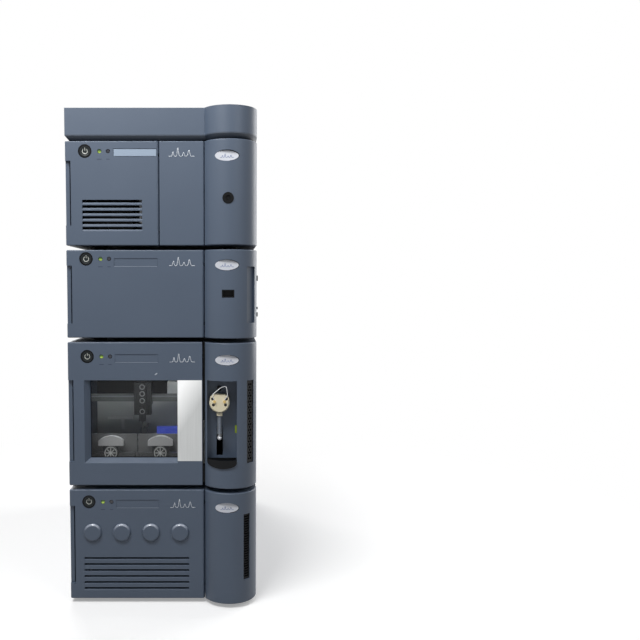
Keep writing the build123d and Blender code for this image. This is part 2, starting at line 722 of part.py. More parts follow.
def dome_cover(x, z):
    """Raised round cap, moulded in the pump's door."""
    cap = rod_y(DOME_RADIUS, x, FACE - DOME_HEIGHT, FACE + 0.5, z)
    rim = cap.edges().filter_by(GeomType.CIRCLE).sort_by(Axis.Y)[0]
    return fillet(rim, DOME_ROUND)


def make_pump_door():
    """Pump's door: four raised caps over the pump heads and a wide louvre."""
    door = hinged_panel(LEFT, pump.door_right, pump)
    for x in dome_places():
        door += dome_cover(x, pump.top - DOME_DROP)
    door -= switch_holes(pump)
    door -= name_field(pump)
    first = pump.top - PUMP_LOUVRE_DROP
    for slot in louvre_slots(LEFT + PUMP_LOUVRE_X, PUMP_LOUVRE_LENGTH, first, PUMP_LOUVRE_PITCH,
                             PUMP_LOUVRE_SLOT, PUMP_LOUVRE_SLOPE):
        door -= slot
    return door


# ---- towers --------------------------------------------------------------------------------------------------
def badge_pocket(module):
    """Oval pocket with a flat floor, cut into the tower's round face."""
    x, z = RIGHT - BADGE_FROM_RIGHT, module.badge_z
    plan = front_plane(x, APEX + POCKET_DEPTH, z) * Ellipse(BADGE_WIDTH / 2 + BADGE_GAP,
                                                           BADGE_HEIGHT / 2 + BADGE_GAP)
    return extrude(plan, amount=POCKET_DEPTH + 2 * CUP_PROUD)


def make_badge(module):
    """Bare oval plate on the floor of the pocket."""
    x, z = RIGHT - BADGE_FROM_RIGHT, module.badge_z
    plan = front_plane(x, APEX + POCKET_DEPTH, z) * Ellipse(BADGE_WIDTH / 2, BADGE_HEIGHT / 2)
    return extrude(plan, amount=BADGE_THICK)


def tower_shell(module, back=FRONT):
    """Rounded cover, open to the rear, with soft edges at its top and bottom."""
    low, high = module.bottom, module.top
    outer = prism(front_plan(SEAM_X, back), low, high)
    rim = [e for e in outer.edges() if e.geom_type == GeomType.CIRCLE]
    outer = fillet(rim, EDGE_ROUND)
    inner = prism(front_plan(SEAM_X + WALL, back + 1, WALL), low + WALL, high - WALL)
    x, wide, tall = RIGHT - BADGE_FROM_RIGHT, BADGE_WIDTH / 2 + WALL, BADGE_HEIGHT / 2 + WALL
    boss = block(x - wide, x + wide, APEX + POCKET_DEPTH, APEX + POCKET_DEPTH + WALL, module.badge_z - tall,
                 module.badge_z + tall)
    clip = prism(front_plan(SEAM_X + 0.5, back, 0.5), low, high)
    return (outer - inner) + (boss & clip) - badge_pocket(module)


def flank_frame(angles):
    """Middle direction and chord width of a strip on the tower's flank."""
    middle = sum(angles) / 2
    chord = 2 * TOWER_RADIUS * sin(radians(angles[1] - angles[0]) / 2)
    return middle, chord


def flank_block(angles, drops, module, radius0, radius1, widen=0.0):
    """Upright block on the tower's flank between two radii from its axis."""
    middle, chord = flank_frame(angles)
    z1, z0 = module.top - drops[0] + widen, module.top - drops[1] - widen
    slab = Box(chord + 2 * widen, radius1 - radius0, z1 - z0)
    turned = Rot(0, 0, middle) * Pos(0, -(radius0 + radius1) / 2, 0) * slab
    return Pos(AXIS_X, AXIS_Y, (z0 + z1) / 2) * turned


def make_detector_tower():
    """Detector's tower with a round port."""
    tower = tower_shell(detector)
    x, z = RIGHT - PORT_FROM_RIGHT, detector.top - PLUG_DROP
    return tower - rod_y(PLUG_RADIUS, x, APEX - 1, APEX + 2 * PLUG_LENGTH, z)


def make_port_plug():
    """Dished rubber plug in the detector's port."""
    x, z = RIGHT - PORT_FROM_RIGHT, detector.top - PLUG_DROP
    plug = rod_y(PLUG_RADIUS - PLUG_CLEAR, x, APEX - PLUG_PROUD, APEX + PLUG_LENGTH, z)
    dish = Cone(PLUG_DISH - PLUG_DISH_DEPTH, PLUG_DISH, 2 * PLUG_DISH_DEPTH)
    return plug - Pos(x, APEX - PLUG_PROUD, z) * Rot(90, 0, 0) * dish


def make_pump_tower():
    """Pump's tower with a narrow vent opening."""
    opening = flank_block(PUMP_VENT_ANGLES, PUMP_VENT_DROPS, pump, TOWER_RADIUS - 2 * WALL, TOWER_RADIUS + 3)
    return tower_shell(pump) - opening


def make_pump_vent():
    """Vent insert: a frame with level fins."""
    r1 = TOWER_RADIUS - VENT_DEPTH
    insert = flank_block(PUMP_VENT_ANGLES, PUMP_VENT_DROPS, pump, r1 - 2 * VENT_THICK, r1)
    middle, chord = flank_frame(PUMP_VENT_ANGLES)
    z1, z0 = pump.top - PUMP_VENT_DROPS[0], pump.top - PUMP_VENT_DROPS[1]
    count = int((z1 - z0 - PUMP_VENT_PITCH) / PUMP_VENT_PITCH)
    gap = PUMP_VENT_PITCH - PUMP_VENT_FIN
    start = (z0 + z1) / 2 - (count - 1) / 2 * PUMP_VENT_PITCH
    for i in range(count):
        slot = Pos(0, -r1 + VENT_THICK, 0) * Box(chord - 2 * PUMP_VENT_FIN, 6 * VENT_THICK, gap)
        insert -= Pos(AXIS_X, AXIS_Y, start + i * PUMP_VENT_PITCH) * Rot(0, 0, middle) * slot
    return insert


def niche_box(grow=0.0):
    """Corners of the syringe niche, grown by grow on its sides, floor, roof and back."""
    return (
        RIGHT - NICHE_FROM_RIGHT[1] - grow,
        RIGHT - NICHE_FROM_RIGHT[0] + grow,
        APEX - 1,
        APEX + NICHE_BACK + grow,
        sampler.top - NICHE_DROPS[1] - grow,
        sampler.top - NICHE_DROPS[0] + grow,
    )


VALVE_X = RIGHT - VALVE_FROM_RIGHT
VALVE_Z = sampler.top - VALVE_DROP
NICHE_Y = APEX + NICHE_BACK
SYRINGE_Y = NICHE_Y - VALVE_STANDOFF - VALVE_THICK / 2
NECK_Z = VALVE_Z - VALVE_RADIUS - NECK_LENGTH
BARREL_LOW = NECK_Z - BARREL_LENGTH
BALL_Z = BARREL_LOW - PLUNGER_EXTENDED - BALL_RADIUS


def make_sampler_tower():
    """Sample changer's tower: open niche for the syringe, slot for its drive, vent opening."""
    tower = tower_shell(sampler)
    x0, x1, y0, y1, z0, z1 = niche_box(WALL)
    clip = prism(front_plan(SEAM_X + 0.5, FRONT, 0.5), sampler.bottom, sampler.top)
    tower += block(x0, x1, y0, y1, z0, z1) & clip
    x0, x1, y0, y1, z0, z1 = niche_box()
    tower -= block(x0, x1, y0, y1, z0, z1)
    low = z0 + CUP_HEIGHT
    tower -= block(VALVE_X - SLOT_WIDTH / 2, VALVE_X + SLOT_WIDTH / 2, y1 - 1, y1 + 2 * WALL, low,
                   BALL_Z + SLOT_RISE)
    opening = flank_block(SAMPLER_VENT_ANGLES, SAMPLER_VENT_DROPS, sampler, TOWER_RADIUS - 2 * WALL,
                          TOWER_RADIUS + 3)
    return tower - opening


def make_sampler_vent():
    """Vent insert: a plate with staggered diamond holes."""
    r1 = TOWER_RADIUS - VENT_DEPTH
    insert = flank_block(SAMPLER_VENT_ANGLES, SAMPLER_VENT_DROPS, sampler, r1 - VENT_THICK, r1)
    middle, chord = flank_frame(SAMPLER_VENT_ANGLES)
    z1, z0 = sampler.top - SAMPLER_VENT_DROPS[0], sampler.top - SAMPLER_VENT_DROPS[1]
    across = int((chord - SAMPLER_VENT_PITCH) / SAMPLER_VENT_PITCH)
    rows = int((z1 - z0 - SAMPLER_VENT_PITCH) / SAMPLER_VENT_PITCH)
    holes = []
    for row in range(rows):
        z = (z0 + z1) / 2 + (row - (rows - 1) / 2) * SAMPLER_VENT_PITCH
        for i in range(across - row % 2):
            x = (i - (across - row % 2 - 1) / 2) * SAMPLER_VENT_PITCH
            hole = Pos(x, -r1 + VENT_THICK / 2, 0) * Rot(0, 45, 0)
            hole = hole * Box(SAMPLER_VENT_HOLE, 4 * VENT_THICK, SAMPLER_VENT_HOLE)
            holes.append(Pos(AXIS_X, AXIS_Y, z) * Rot(0, 0, middle) * hole)
    return insert.cut(*[s for h in holes for s in h.solids()])


# ---- column oven's swinging compartment -------------------------------------------------------------------------
OVEN_LOW = column.bottom + SHEET + OVEN_CLEAR
OVEN_HIGH = column.top - SHEET - OVEN_CLEAR
OVEN_HINGE = (RIGHT - HINGE_ROUND, OVEN_BACK - HINGE_ROUND)


def make_oven():
    """Tower and compartment in one moulding, open on the side that faces the stack when parked."""
    back = FRONT - OVEN_CLEAR
    front = tower_shell(column, back)
    front -= block(SEAM_X - 1, RIGHT - WALL, back - PANEL_DEPTH / 3, back + 1, OVEN_LOW + WALL,
                   OVEN_HIGH - WALL)
    plan = closed_face([(SEAM_X, back - WALL), (RIGHT, back - WALL), (RIGHT, OVEN_BACK), (SEAM_X, OVEN_BACK)])
    corner = [v for v in plan.vertices() if v.X > RIGHT - 0.1 and v.Y > OVEN_BACK - 0.1]
    body = prism(fillet(corner, HINGE_ROUND), OVEN_LOW, OVEN_HIGH)
    body -= block(SEAM_X - 1, RIGHT - WALL, back - WALL - 1, OVEN_BACK - WALL, OVEN_LOW + WALL,
                  OVEN_HIGH - WALL)
    oven = front + body
    x, y = OVEN_HINGE
    oven += rod_z(HINGE_ROUND, x, y, OVEN_LOW, OVEN_HIGH)
    room = LUG_RADIUS + LUG_CLEAR
    half = LUG_HEIGHT / 2 + LUG_CLEAR
    for z in lug_levels(column):
        oven -= block(x - room, RIGHT + 1, y - room, OVEN_BACK + 1, z - half, z + half)
        reach = LUG_HEIGHT / 2 + PIN_REACH + LUG_CLEAR
        oven -= rod_z(PIN_RADIUS + PIN_CLEAR, x, y, z - reach, z + reach)
    oven += flank_block(GRIP_ANGLES, GRIP_DROPS, column, TOWER_RADIUS - GRIP_DEPTH - WALL,
                        TOWER_RADIUS - 1, WALL) & prism(front_plan(SEAM_X + 0.5, FRONT, 0.5), OVEN_LOW,
                                                        OVEN_HIGH)
    oven -= flank_block(GRIP_ANGLES, GRIP_DROPS, column, TOWER_RADIUS - GRIP_DEPTH, TOWER_RADIUS + 3)
    x, z = RIGHT - PORT_FROM_RIGHT, column.top - OVEN_PORT_DROP
    return oven - block(x - OVEN_PORT_WIDTH / 2, x + OVEN_PORT_WIDTH / 2, APEX - 1,
                        APEX + 2 * OVEN_PORT_LENGTH, z - OVEN_PORT_HEIGHT / 2, z + OVEN_PORT_HEIGHT / 2)


def make_oven_port():
    """Black liner of the tube port in the compartment's face, dished to a blind back."""
    x, z = RIGHT - PORT_FROM_RIGHT, column.top - OVEN_PORT_DROP
    sleeve = block(x - OVEN_PORT_WIDTH / 2, x + OVEN_PORT_WIDTH / 2, APEX + 0.6,
                   APEX + OVEN_PORT_LENGTH, z - OVEN_PORT_HEIGHT / 2, z + OVEN_PORT_HEIGHT / 2)
    wide, high = OVEN_PORT_WIDTH / 2 - OVEN_PORT_WALL, OVEN_PORT_HEIGHT / 2 - OVEN_PORT_WALL
    return sleeve - block(x - wide, x + wide, APEX - 1, APEX + OVEN_PORT_LENGTH - OVEN_PORT_WALL,
                          z - high, z + high)


def make_side_fittings():
    """Tube fittings that stand a little out of the compartment's side."""
    fittings = []
    for drop, radius in FITTINGS:
        fittings.append(rod_x(radius, RIGHT, RIGHT + FITTING_PROUD, APEX + FITTING_Y, column.top - drop))
    return fittings


def trough_box():
    """Corners of the heater trough on the compartment's side wall, clear of the hinge knuckle."""
    x1 = RIGHT - WALL
    y0, y1 = APEX + TROUGH_FRONT, OVEN_BACK - 2 * HINGE_ROUND - TROUGH_GAP
    z = (OVEN_LOW + OVEN_HIGH) / 2
    return x1 - TROUGH_WIDTH, x1, y0, y1, z - TROUGH_HEIGHT / 2, z + TROUGH_HEIGHT / 2


def make_trough():
    """Heater trough: a deep channel, open to the same side as the compartment, with two cradles."""
    x0, x1, y0, y1, z0, z1 = trough_box()
    wall = TROUGH_WALL
    trough = block(x0, x1, y0, y1, z0, z1)
    trough -= block(x0 - 1, x1 - wall, y0 + wall, y1 - wall, z0 + wall, z1 - wall)
    z = (z0 + z1) / 2
    for y in (y0 + 2 * wall, y1 - 3 * wall):
        cradle = block(x1 - wall - CRADLE - CRADLE_REACH, x1 - wall, y, y + wall, z - CRADLE, z + CRADLE)
        trough += cradle
    x = x1 - wall - CRADLE
    trough -= rod_y(COLUMN_RADIUS, x, y0 + wall, y1 - wall, z)
    return trough - block(x - CRADLE, x, y0 + wall, y1 - wall, z - COLUMN_RADIUS, z + COLUMN_RADIUS)


def make_separation_column():
    """Packed steel column with a nut at each end, snapped into the cradles."""
    x0, x1, y0, y1, z0, z1 = trough_box()
    wall = TROUGH_WALL
    x, z = x1 - wall - CRADLE, (z0 + z1) / 2
    start, end = y0 + wall + COLUMN_END_GAP, y1 - wall - COLUMN_END_GAP
    tube = rod_y(COLUMN_RADIUS - COLUMN_CLEAR, x, start, end, z)
    for y in (y0 + 3 * wall + 1, y1 - 3 * wall - 1 - COLUMN_NUT_LENGTH):
        tube += rod_y(COLUMN_NUT, x, y, y + COLUMN_NUT_LENGTH, z)
    return tube


def make_heat_exchanger():
    """Finned block on the column oven's bulkhead, which heats and cools the compartment's air."""
    x = LEFT + SINK_X
    z = (column.bottom + column.top - BRACKET_HEIGHT) / 2
    y1 = column.bulkhead
    sink = block(x - SINK_WIDTH / 2, x + SINK_WIDTH / 2, y1 - FIN_BASE, y1, z - SINK_HEIGHT / 2,
                 z + SINK_HEIGHT / 2)
    pitch = (SINK_WIDTH - FIN_THICK) / (FIN_COUNT - 1)
    for i in range(FIN_COUNT):
        x0 = x - SINK_WIDTH / 2 + i * pitch
        sink += block(x0, x0 + FIN_THICK, y1 - FIN_BASE - FIN_HEIGHT, y1 - FIN_BASE, z - SINK_HEIGHT / 2,
                      z + SINK_HEIGHT / 2)
    return sink


# ---- switches and lamps ------------------------------------------------------------------------------------------------
def make_switch_guide(module):
    """Black guide of the push switch, from the enclosure's bracket out through the panel."""
    x, z = LEFT + SWITCH_X, module.switch_z
    guide = rod_y(GUIDE_RADIUS, x, FACE + LIGHT_SET_BACK, FRONT, z)
    guide += rod_y(GUIDE_FLANGE, x, FRONT - FLANGE_THICK, FRONT, z)
    guide -= rod_y(GUIDE_BORE, x, FACE - 1, FRONT - 2 * FLANGE_THICK, z)
    return guide - rod_y(STEM_RADIUS + STEM_CLEAR, x, FACE, FRONT + 1, z)


def make_button(module):
    """Round push button with a dished face and a stem that runs back through the bracket."""
    x, z = LEFT + SWITCH_X, module.switch_z
    face = FACE + LIGHT_SET_BACK
    button = rod_y(BUTTON_RADIUS, x, face, face + BUTTON_THICK, z)
    button += rod_y(STEM_RADIUS, x, face + BUTTON_THICK, FRONT + SHEET, z)
    sphere = (BUTTON_RADIUS - 1) ** 2 / (2 * BUTTON_DISH) + BUTTON_DISH / 2
    return button - Pos(x, face + BUTTON_DISH - sphere, z) * Sphere(sphere)


def make_lights(x):
    """Light pipes at x from the left edge, one on each module's bracket."""
    return [rod_y(LIGHT_RADIUS, LEFT + x, FACE + LIGHT_SET_BACK, FRONT, m.switch_z) for m in MODULES]


# ---- tray ----------------------------------------------------------------------------------------------------------------
TRAY_BASE = detector.top
TRAY_TOP = TRAY_BASE + TRAY_SLANT + TRAY_FACE


def tray_plan(inset):
    """Plan of the tray, drawn in by inset."""
    return front_plan(LEFT + inset, REAR - inset, inset)


def make_tray():
    """Open tray for the solvent bottles, undercut all round at its foot."""
    tray = prism(tray_plan(0), TRAY_BASE + TRAY_SLANT, TRAY_TOP)
    foot = loft([Pos(0, 0, TRAY_BASE) * tray_plan(TRAY_UNDERCUT), Pos(0, 0, TRAY_BASE + TRAY_SLANT) * tray_plan(0)])
    tray += foot
    inner = prism(tray_plan(TRAY_WALL), TRAY_BASE + TRAY_SLANT + TRAY_FLOOR, TRAY_TOP + 1)
    lower = TRAY_UNDERCUT + TRAY_WALL
    inner += prism(tray_plan(lower), TRAY_BASE + TRAY_FLOOR, TRAY_BASE + TRAY_SLANT + TRAY_FLOOR + 1)
    return tray - inner


def make_liner():
    """Ribbed mat on the tray's floor, between its walls."""
    edge = TRAY_UNDERCUT + TRAY_WALL + LINER_GAP
    low = TRAY_BASE + TRAY_FLOOR
    liner = prism(tray_plan(edge), low, low + LINER_THICK)
    y0, y1 = FRONT, REAR - 2 * edge
    for i in range(LINER_RIBS):
        y = y0 + (y1 - y0) * (i + 0.5) / LINER_RIBS
        liner += block(LEFT + 2 * edge, RIGHT - 2 * edge, y, y + 2 * LINER_RIB, low + LINER_THICK - 0.1,
                       low + LINER_THICK + LINER_RIB)
    return liner


# ---- behind the doors ---------------------------------------------------------------------------------------------------------
def make_pump_head(x):
    """Pump head: steel body on a black collar, round nut in front, check valves above and below."""
    z = pump.top - DOME_DROP
    back = pump.bulkhead
    head = rod_y(HEAD_COLLAR, x, back - COLLAR_WIDTH, back, z)
    body = rod_y(HEAD_RADIUS, x, back - COLLAR_WIDTH - HEAD_LENGTH, back - COLLAR_WIDTH, z)
    edge = body.edges().filter_by(GeomType.CIRCLE).sort_by(Axis.Y)[0]
    head += chamfer(edge, HEAD_CHAMFER)
    front = back - COLLAR_WIDTH - HEAD_LENGTH
    head += rod_y(KNOB_NUT_RADIUS, x, front - KNOB_NUT_LENGTH, front, z)
    y = back - COLLAR_WIDTH - HEAD_LENGTH / 2
    reach = HEAD_RADIUS + VALVE_NUT_REACH
    head += rod_z(VALVE_NUT_RADIUS, x, y, z - reach, z + reach)
    return head


def make_leak_tray():
    """Shallow tray on the pump bay's floor that catches leaks."""
    x0, x1 = INNER_LEFT + LEAK_TRAY_INSET, DIVIDER_LEFT - LEAK_TRAY_INSET
    y0, y1 = pump.bulkhead - LEAK_TRAY_DEPTH, pump.bulkhead
    z0 = pump.bottom + SHEET
    z1 = z0 + LEAK_TRAY_HEIGHT
    wall = LEAK_TRAY_WALL
    return block(x0, x1, y0, y1, z0, z1) - block(x0 + wall, x1 - wall, y0 + wall, y1 - wall, z0 + wall, z1 + 1)


def make_lamp_housing():
    """Cast lamp housing with cooling ribs and two thumb screws."""
    x, z = LEFT + LAMP_X, (detector.bottom + detector.top - BRACKET_HEIGHT) / 2
    y1 = detector.bulkhead
    y0 = y1 - LAMP_DEPTH
    housing = block(x - LAMP_WIDTH / 2, x + LAMP_WIDTH / 2, y0, y1, z - LAMP_HEIGHT / 2, z + LAMP_HEIGHT / 2)
    half = LAMP_WIDTH / 2 - LAMP_RIM
    for i in range(LAMP_GROOVES):
        low = z + (i - (LAMP_GROOVES - 1) / 2) * LAMP_GROOVE_PITCH - LAMP_GROOVE / 2
        housing -= block(x - half, x + half, y0 - 1, y0 + LAMP_GROOVE_DEPTH, low, low + LAMP_GROOVE)
    for side in (-1, 1):
        screw_z = z + side * (LAMP_HEIGHT / 2 - LAMP_SCREW_INSET)
        housing += rod_y(LAMP_SCREW, x, y0 - LAMP_SCREW_LENGTH, y0, screw_z)
    return housing


def make_flow_cell():
    """Flow cell cartridge with its pull knob."""
    x, z = LEFT + CELL_X, (detector.bottom + detector.top - BRACKET_HEIGHT) / 2
    y1 = detector.bulkhead
    y0 = y1 - CELL_DEPTH
    cell = block(x - CELL_WIDTH / 2, x + CELL_WIDTH / 2, y0, y1, z - CELL_HEIGHT / 2, z + CELL_HEIGHT / 2)
    cell = fillet(cell.edges().filter_by(Axis.Y), CELL_CORNER)
    knob_back = y0 - CELL_STEM_LENGTH
    cell += rod_y(CELL_STEM, x, knob_back, y0, z)
    return cell + rod_y(CELL_KNOB, x, knob_back - CELL_KNOB_LENGTH, knob_back, z)


CHAMBER_Z = sampler.bottom + CHAMBER_FLOOR


def make_carrier(x):
    """Sample plate carrier: feet, rimmed deck, arched pull and a round knob in front."""
    y0 = FRONT + CARRIER_BACK
    y1 = y0 + CARRIER_LENGTH
    half = CARRIER_WIDTH / 2
    deck = CHAMBER_Z + CARRIER_FEET
    carrier = block(x - half, x + half, y0, y1, deck, deck + CARRIER_DECK + CARRIER_RIM)
    rim = CARRIER_RIM_WIDTH
    carrier -= block(x - half + rim, x + half - rim, y0 + 2 * rim, y1 - rim, deck + CARRIER_DECK,
                     deck + CARRIER_DECK + CARRIER_RIM + 1)
    for side in (-1, 1):
        runner = x + side * (half - rim)
        carrier += block(runner - rim, runner + rim, y0, y1, CHAMBER_Z, deck)
    post = PULL_WIDTH / 3
    top = CHAMBER_Z + PULL_RISE + PULL_BAND
    carrier += block(x - post, x + post, y0, y0 + PULL_THICK, deck, top)
    low = CHAMBER_Z + PULL_RISE
    arch = PULL_HEIGHT - PULL_BAND
    w = PULL_WIDTH / 2
    outline = make_face([
        Line((-w, 0), (w, 0)),
        Line((w, 0), (w, PULL_BAND)),
        ThreePointArc((w, PULL_BAND), (0, PULL_BAND + arch), (-w, PULL_BAND)),
        Line((-w, PULL_BAND), (-w, 0)),
    ])
    carrier += extrude(front_plane(x, y0 + PULL_THICK, low) * outline, amount=2 * PULL_THICK)
    knob_z = CHAMBER_Z + KNOB_RISE
    knob = rod_y(KNOB_RADIUS, x, y0 - KNOB_THICK, y0 + PULL_THICK, knob_z)
    return carrier + knob


def make_rail():
    """Rail across the chamber that carries the needle's carriage."""
    y0 = FRONT + RAIL_BACK
    z = sampler.top - RAIL_DROP
    return block(INNER_LEFT, DIVIDER_LEFT, y0, y0 + RAIL_DEPTH, z - RAIL_HEIGHT / 2, z + RAIL_HEIGHT / 2)


CARRIAGE_TOP = sampler.top - RAIL_DROP + CARRIAGE_RISE
RAIL_FRONT = FRONT + RAIL_BACK
CARRIAGE_FRONT = RAIL_FRONT - CARRIAGE_CLEAR - CARRIAGE_DEPTH


def make_carriage():
    """Carriage that wraps the rail, with a groove for the needle's arm."""
    x = LEFT + CARRIAGE_X
    z = sampler.top - RAIL_DROP
    clear = CARRIAGE_CLEAR
    half = CARRIAGE_WIDTH / 2
    back = RAIL_FRONT + RAIL_DEPTH + clear + CARRIAGE_WALL
    low = CARRIAGE_TOP - CARRIAGE_HEIGHT
    carriage = block(x - half, x + half, CARRIAGE_FRONT, back, z - RAIL_HEIGHT, z + RAIL_HEIGHT)
    carriage += block(x - half, x + half, CARRIAGE_FRONT, RAIL_FRONT - clear, low, CARRIAGE_TOP)
    carriage -= block(x - half - 1, x + half + 1, RAIL_FRONT - clear, RAIL_FRONT + RAIL_DEPTH + clear,
                      z - RAIL_HEIGHT / 2 - clear, z + RAIL_HEIGHT / 2 + clear)
    groove = ARM_WIDTH / 2 + clear
    return carriage - block(x - groove, x + groove, CARRIAGE_FRONT - 1,
                            CARRIAGE_FRONT + ARM_DEPTH / 2 + clear, low - 1, CARRIAGE_TOP + 1)


def make_needle_arm():
    """Needle arm in the carriage's groove, with its needle below."""
    x = LEFT + CARRIAGE_X
    y = CARRIAGE_FRONT + ARM_DEPTH / 2
    high = CARRIAGE_TOP
    low = high - ARM_LENGTH
    arm = block(x - ARM_WIDTH / 2, x + ARM_WIDTH / 2, y - ARM_DEPTH, y, low, high)
    for drop in ARM_SCREW_DROPS:
        arm += rod_y(ARM_SCREW, x, y - ARM_DEPTH - ARM_SCREW_PROUD, y - ARM_DEPTH, high - drop)
    needle = rod_z(NEEDLE_RADIUS, x, y - ARM_DEPTH / 2, low - NEEDLE_LENGTH, low)
    hub = Pos(x, y - ARM_DEPTH / 2, low - NEEDLE_HUB) * Cone(NEEDLE_RADIUS, NEEDLE_HUB, 2 * NEEDLE_HUB)
    return arm + needle + hub


# ---- syringe niche -------------------------------------------------------------------------------------------------------------------
def make_valve():
    """Valve head of the syringe: round ivory body with four ports, two fittings and a neck."""
    y0, y1 = SYRINGE_Y - VALVE_THICK / 2, SYRINGE_Y + VALVE_THICK / 2
    valve = rod_y(VALVE_RADIUS, VALVE_X, y0, y1, VALVE_Z)
    front = valve.edges().filter_by(GeomType.CIRCLE).sort_by(Axis.Y)[0]
    valve = chamfer(front, VALVE_CHAMFER)
    valve -= block(VALVE_X - VALVE_RADIUS, VALVE_X + VALVE_RADIUS, y0 - 1, y1 + 1, VALVE_Z + VALVE_FLAT,
                   VALVE_Z + VALVE_RADIUS + 1)
    for side in (-1, 1):
        valve += rod_y(PORT_BOSS, VALVE_X + side * PORTS[0][0], y0, y1, VALVE_Z + PORTS[0][1])
    for side in (-1, 1):
        for across, rise in PORTS:
            valve -= rod_y(PORT_RADIUS, VALVE_X + side * across, y0 - 1, y0 + PORT_DEPTH, VALVE_Z + rise)
        valve += rod_y(FERRULE_RADIUS, VALVE_X + side * FERRULE_X, y0 - FERRULE_PROUD, y0,
                       VALVE_Z + FERRULE_RISE)
    valve += block(VALVE_X - NECK_WIDTH / 2, VALVE_X + NECK_WIDTH / 2, SYRINGE_Y - NECK_WIDTH / 2,
                   SYRINGE_Y + NECK_WIDTH / 2, NECK_Z, VALVE_Z - VALVE_RADIUS + VALVE_CHAMFER)
    valve += rod_y(VALVE_RADIUS / 2, VALVE_X, y1, NICHE_Y, VALVE_Z)
    return valve


def make_barrel():
    """Glass barrel under the valve, with a bright collar at its mouth."""
    barrel = rod_z(BARREL_RADIUS, VALVE_X, SYRINGE_Y, BARREL_LOW, NECK_Z)
    barrel += rod_z(COLLAR_RADIUS, VALVE_X, SYRINGE_Y, BARREL_LOW, BARREL_LOW + COLLAR_THICK)
    return barrel - rod_z(BARREL_BORE, VALVE_X, SYRINGE_Y, BARREL_LOW - 1, NECK_Z - BARREL_END)


def make_plunger():
    """Plunger rod with its ball and the yoke that the drive pulls through the niche's slot."""
    rod = rod_z(PLUNGER_ROD, VALVE_X, SYRINGE_Y, BALL_Z, NECK_Z - BARREL_END - 1)
    ball = Pos(VALVE_X, SYRINGE_Y, BALL_Z) * Sphere(BALL_RADIUS)
    yoke = block(VALVE_X - YOKE_WIDTH / 2, VALVE_X + YOKE_WIDTH / 2, SYRINGE_Y, NICHE_Y + WALL + YOKE_REACH,
                 BALL_Z - YOKE_HEIGHT / 2, BALL_Z + YOKE_HEIGHT / 2)
    return rod + ball + yoke


def make_loop():
    """Steel capillary that leaves one fitting, arches over the valve and returns to the other."""
    y = SYRINGE_Y - VALVE_THICK / 2 - FERRULE_PROUD / 2
    seat = FERRULE_RISE + FERRULE_RADIUS + LOOP_TUBE + 0.1
    turns = [(-FERRULE_X, seat), *LOOP_TURNS, (FERRULE_X, seat)]
    path = FilletPolyline(*[(VALVE_X + x, y, VALVE_Z + z) for x, z in turns], radius=LOOP_BENDS)
    start = path ^ 0
    return sweep(Plane(start) * Circle(LOOP_TUBE), path=path)


def make_cup():
    """Black drip cup: a crescent basin on the niche's sill, with an apron that hangs over it."""
    x0, x1, y0, y1, z0, z1 = niche_box(-CUP_CLEAR)
    floor = sampler.top - NICHE_DROPS[1]
    outer = TOWER_RADIUS + CUP_PROUD
    middle = (x0 + x1) / 2
    back = APEX - CUP_PROUD + CUP_DEPTH
    plan = Pos(AXIS_X, AXIS_Y) * Circle(outer) & Pos(middle, back - outer) * Rectangle(x1 - x0, 2 * outer)
    basin = prism(plan, floor, floor + CUP_HEIGHT)
    inner = Pos(AXIS_X, AXIS_Y) * Circle(outer - 2 * CUP_WALL)
    inner = inner & Pos(middle, back - CUP_WALL - outer) * Rectangle(x1 - x0 - 2 * CUP_WALL, 2 * outer)
    basin -= prism(inner, floor + CUP_WALL, floor + CUP_HEIGHT + 1)
    ring = prism(plan, floor - CUP_APRON, floor) - rod_z(TOWER_RADIUS, AXIS_X, AXIS_Y, floor - 2 * CUP_APRON,
                                                         floor + 1)
    shield = front_plane(middle, AXIS_Y, floor) * Ellipse((x1 - x0) / 2, CUP_APRON)
    return basin + (ring & extrude(shield, amount=2 * TOWER_RADIUS))


# ---- rear ---------------------------------------------------------------------------------------------------------------------------------
def make_inlets():
    """Appliance inlets in the rear walls: flanged, with a recess and three blades."""
    y = REAR - REAR_INSET
    wide, high = INLET_WIDTH / 2, INLET_HEIGHT / 2
    mouth_wide, mouth_high, mouth_depth = INLET_MOUTH
    inlets = []
    for module in MODULES:
        x, z = LEFT + INLET_X, module.bottom + INLET_RISE
        body = block(x - wide, x + wide, y - INLET_DEPTH, y, z - high, z + high)
        body += block(x - wide - INLET_RIM, x + wide + INLET_RIM, y, y + INLET_RIM, z - high - INLET_RIM,
                      z + high + INLET_RIM)
        body -= block(x - mouth_wide / 2, x + mouth_wide / 2, y - mouth_depth, y + INLET_RIM + 1,
                      z - mouth_high / 2, z + mouth_high / 2)
        for across, up in BLADES:
            body += block(x + across - BLADE_THICK / 2, x + across + BLADE_THICK / 2, y - mouth_depth,
                          y - BLADE_SET_BACK, z + up - BLADE_HEIGHT / 2, z + up + BLADE_HEIGHT / 2)
        inlets.append(body)
    return inlets


def socket_body(x, z, width):
    """Block of a socket in the rear wall."""
    y = REAR - REAR_INSET
    return block(x - width / 2, x + width / 2, y - SOCKET_DEPTH, y + SOCKET_PROUD, z - JACK_HEIGHT / 2,
                 z + JACK_HEIGHT / 2)


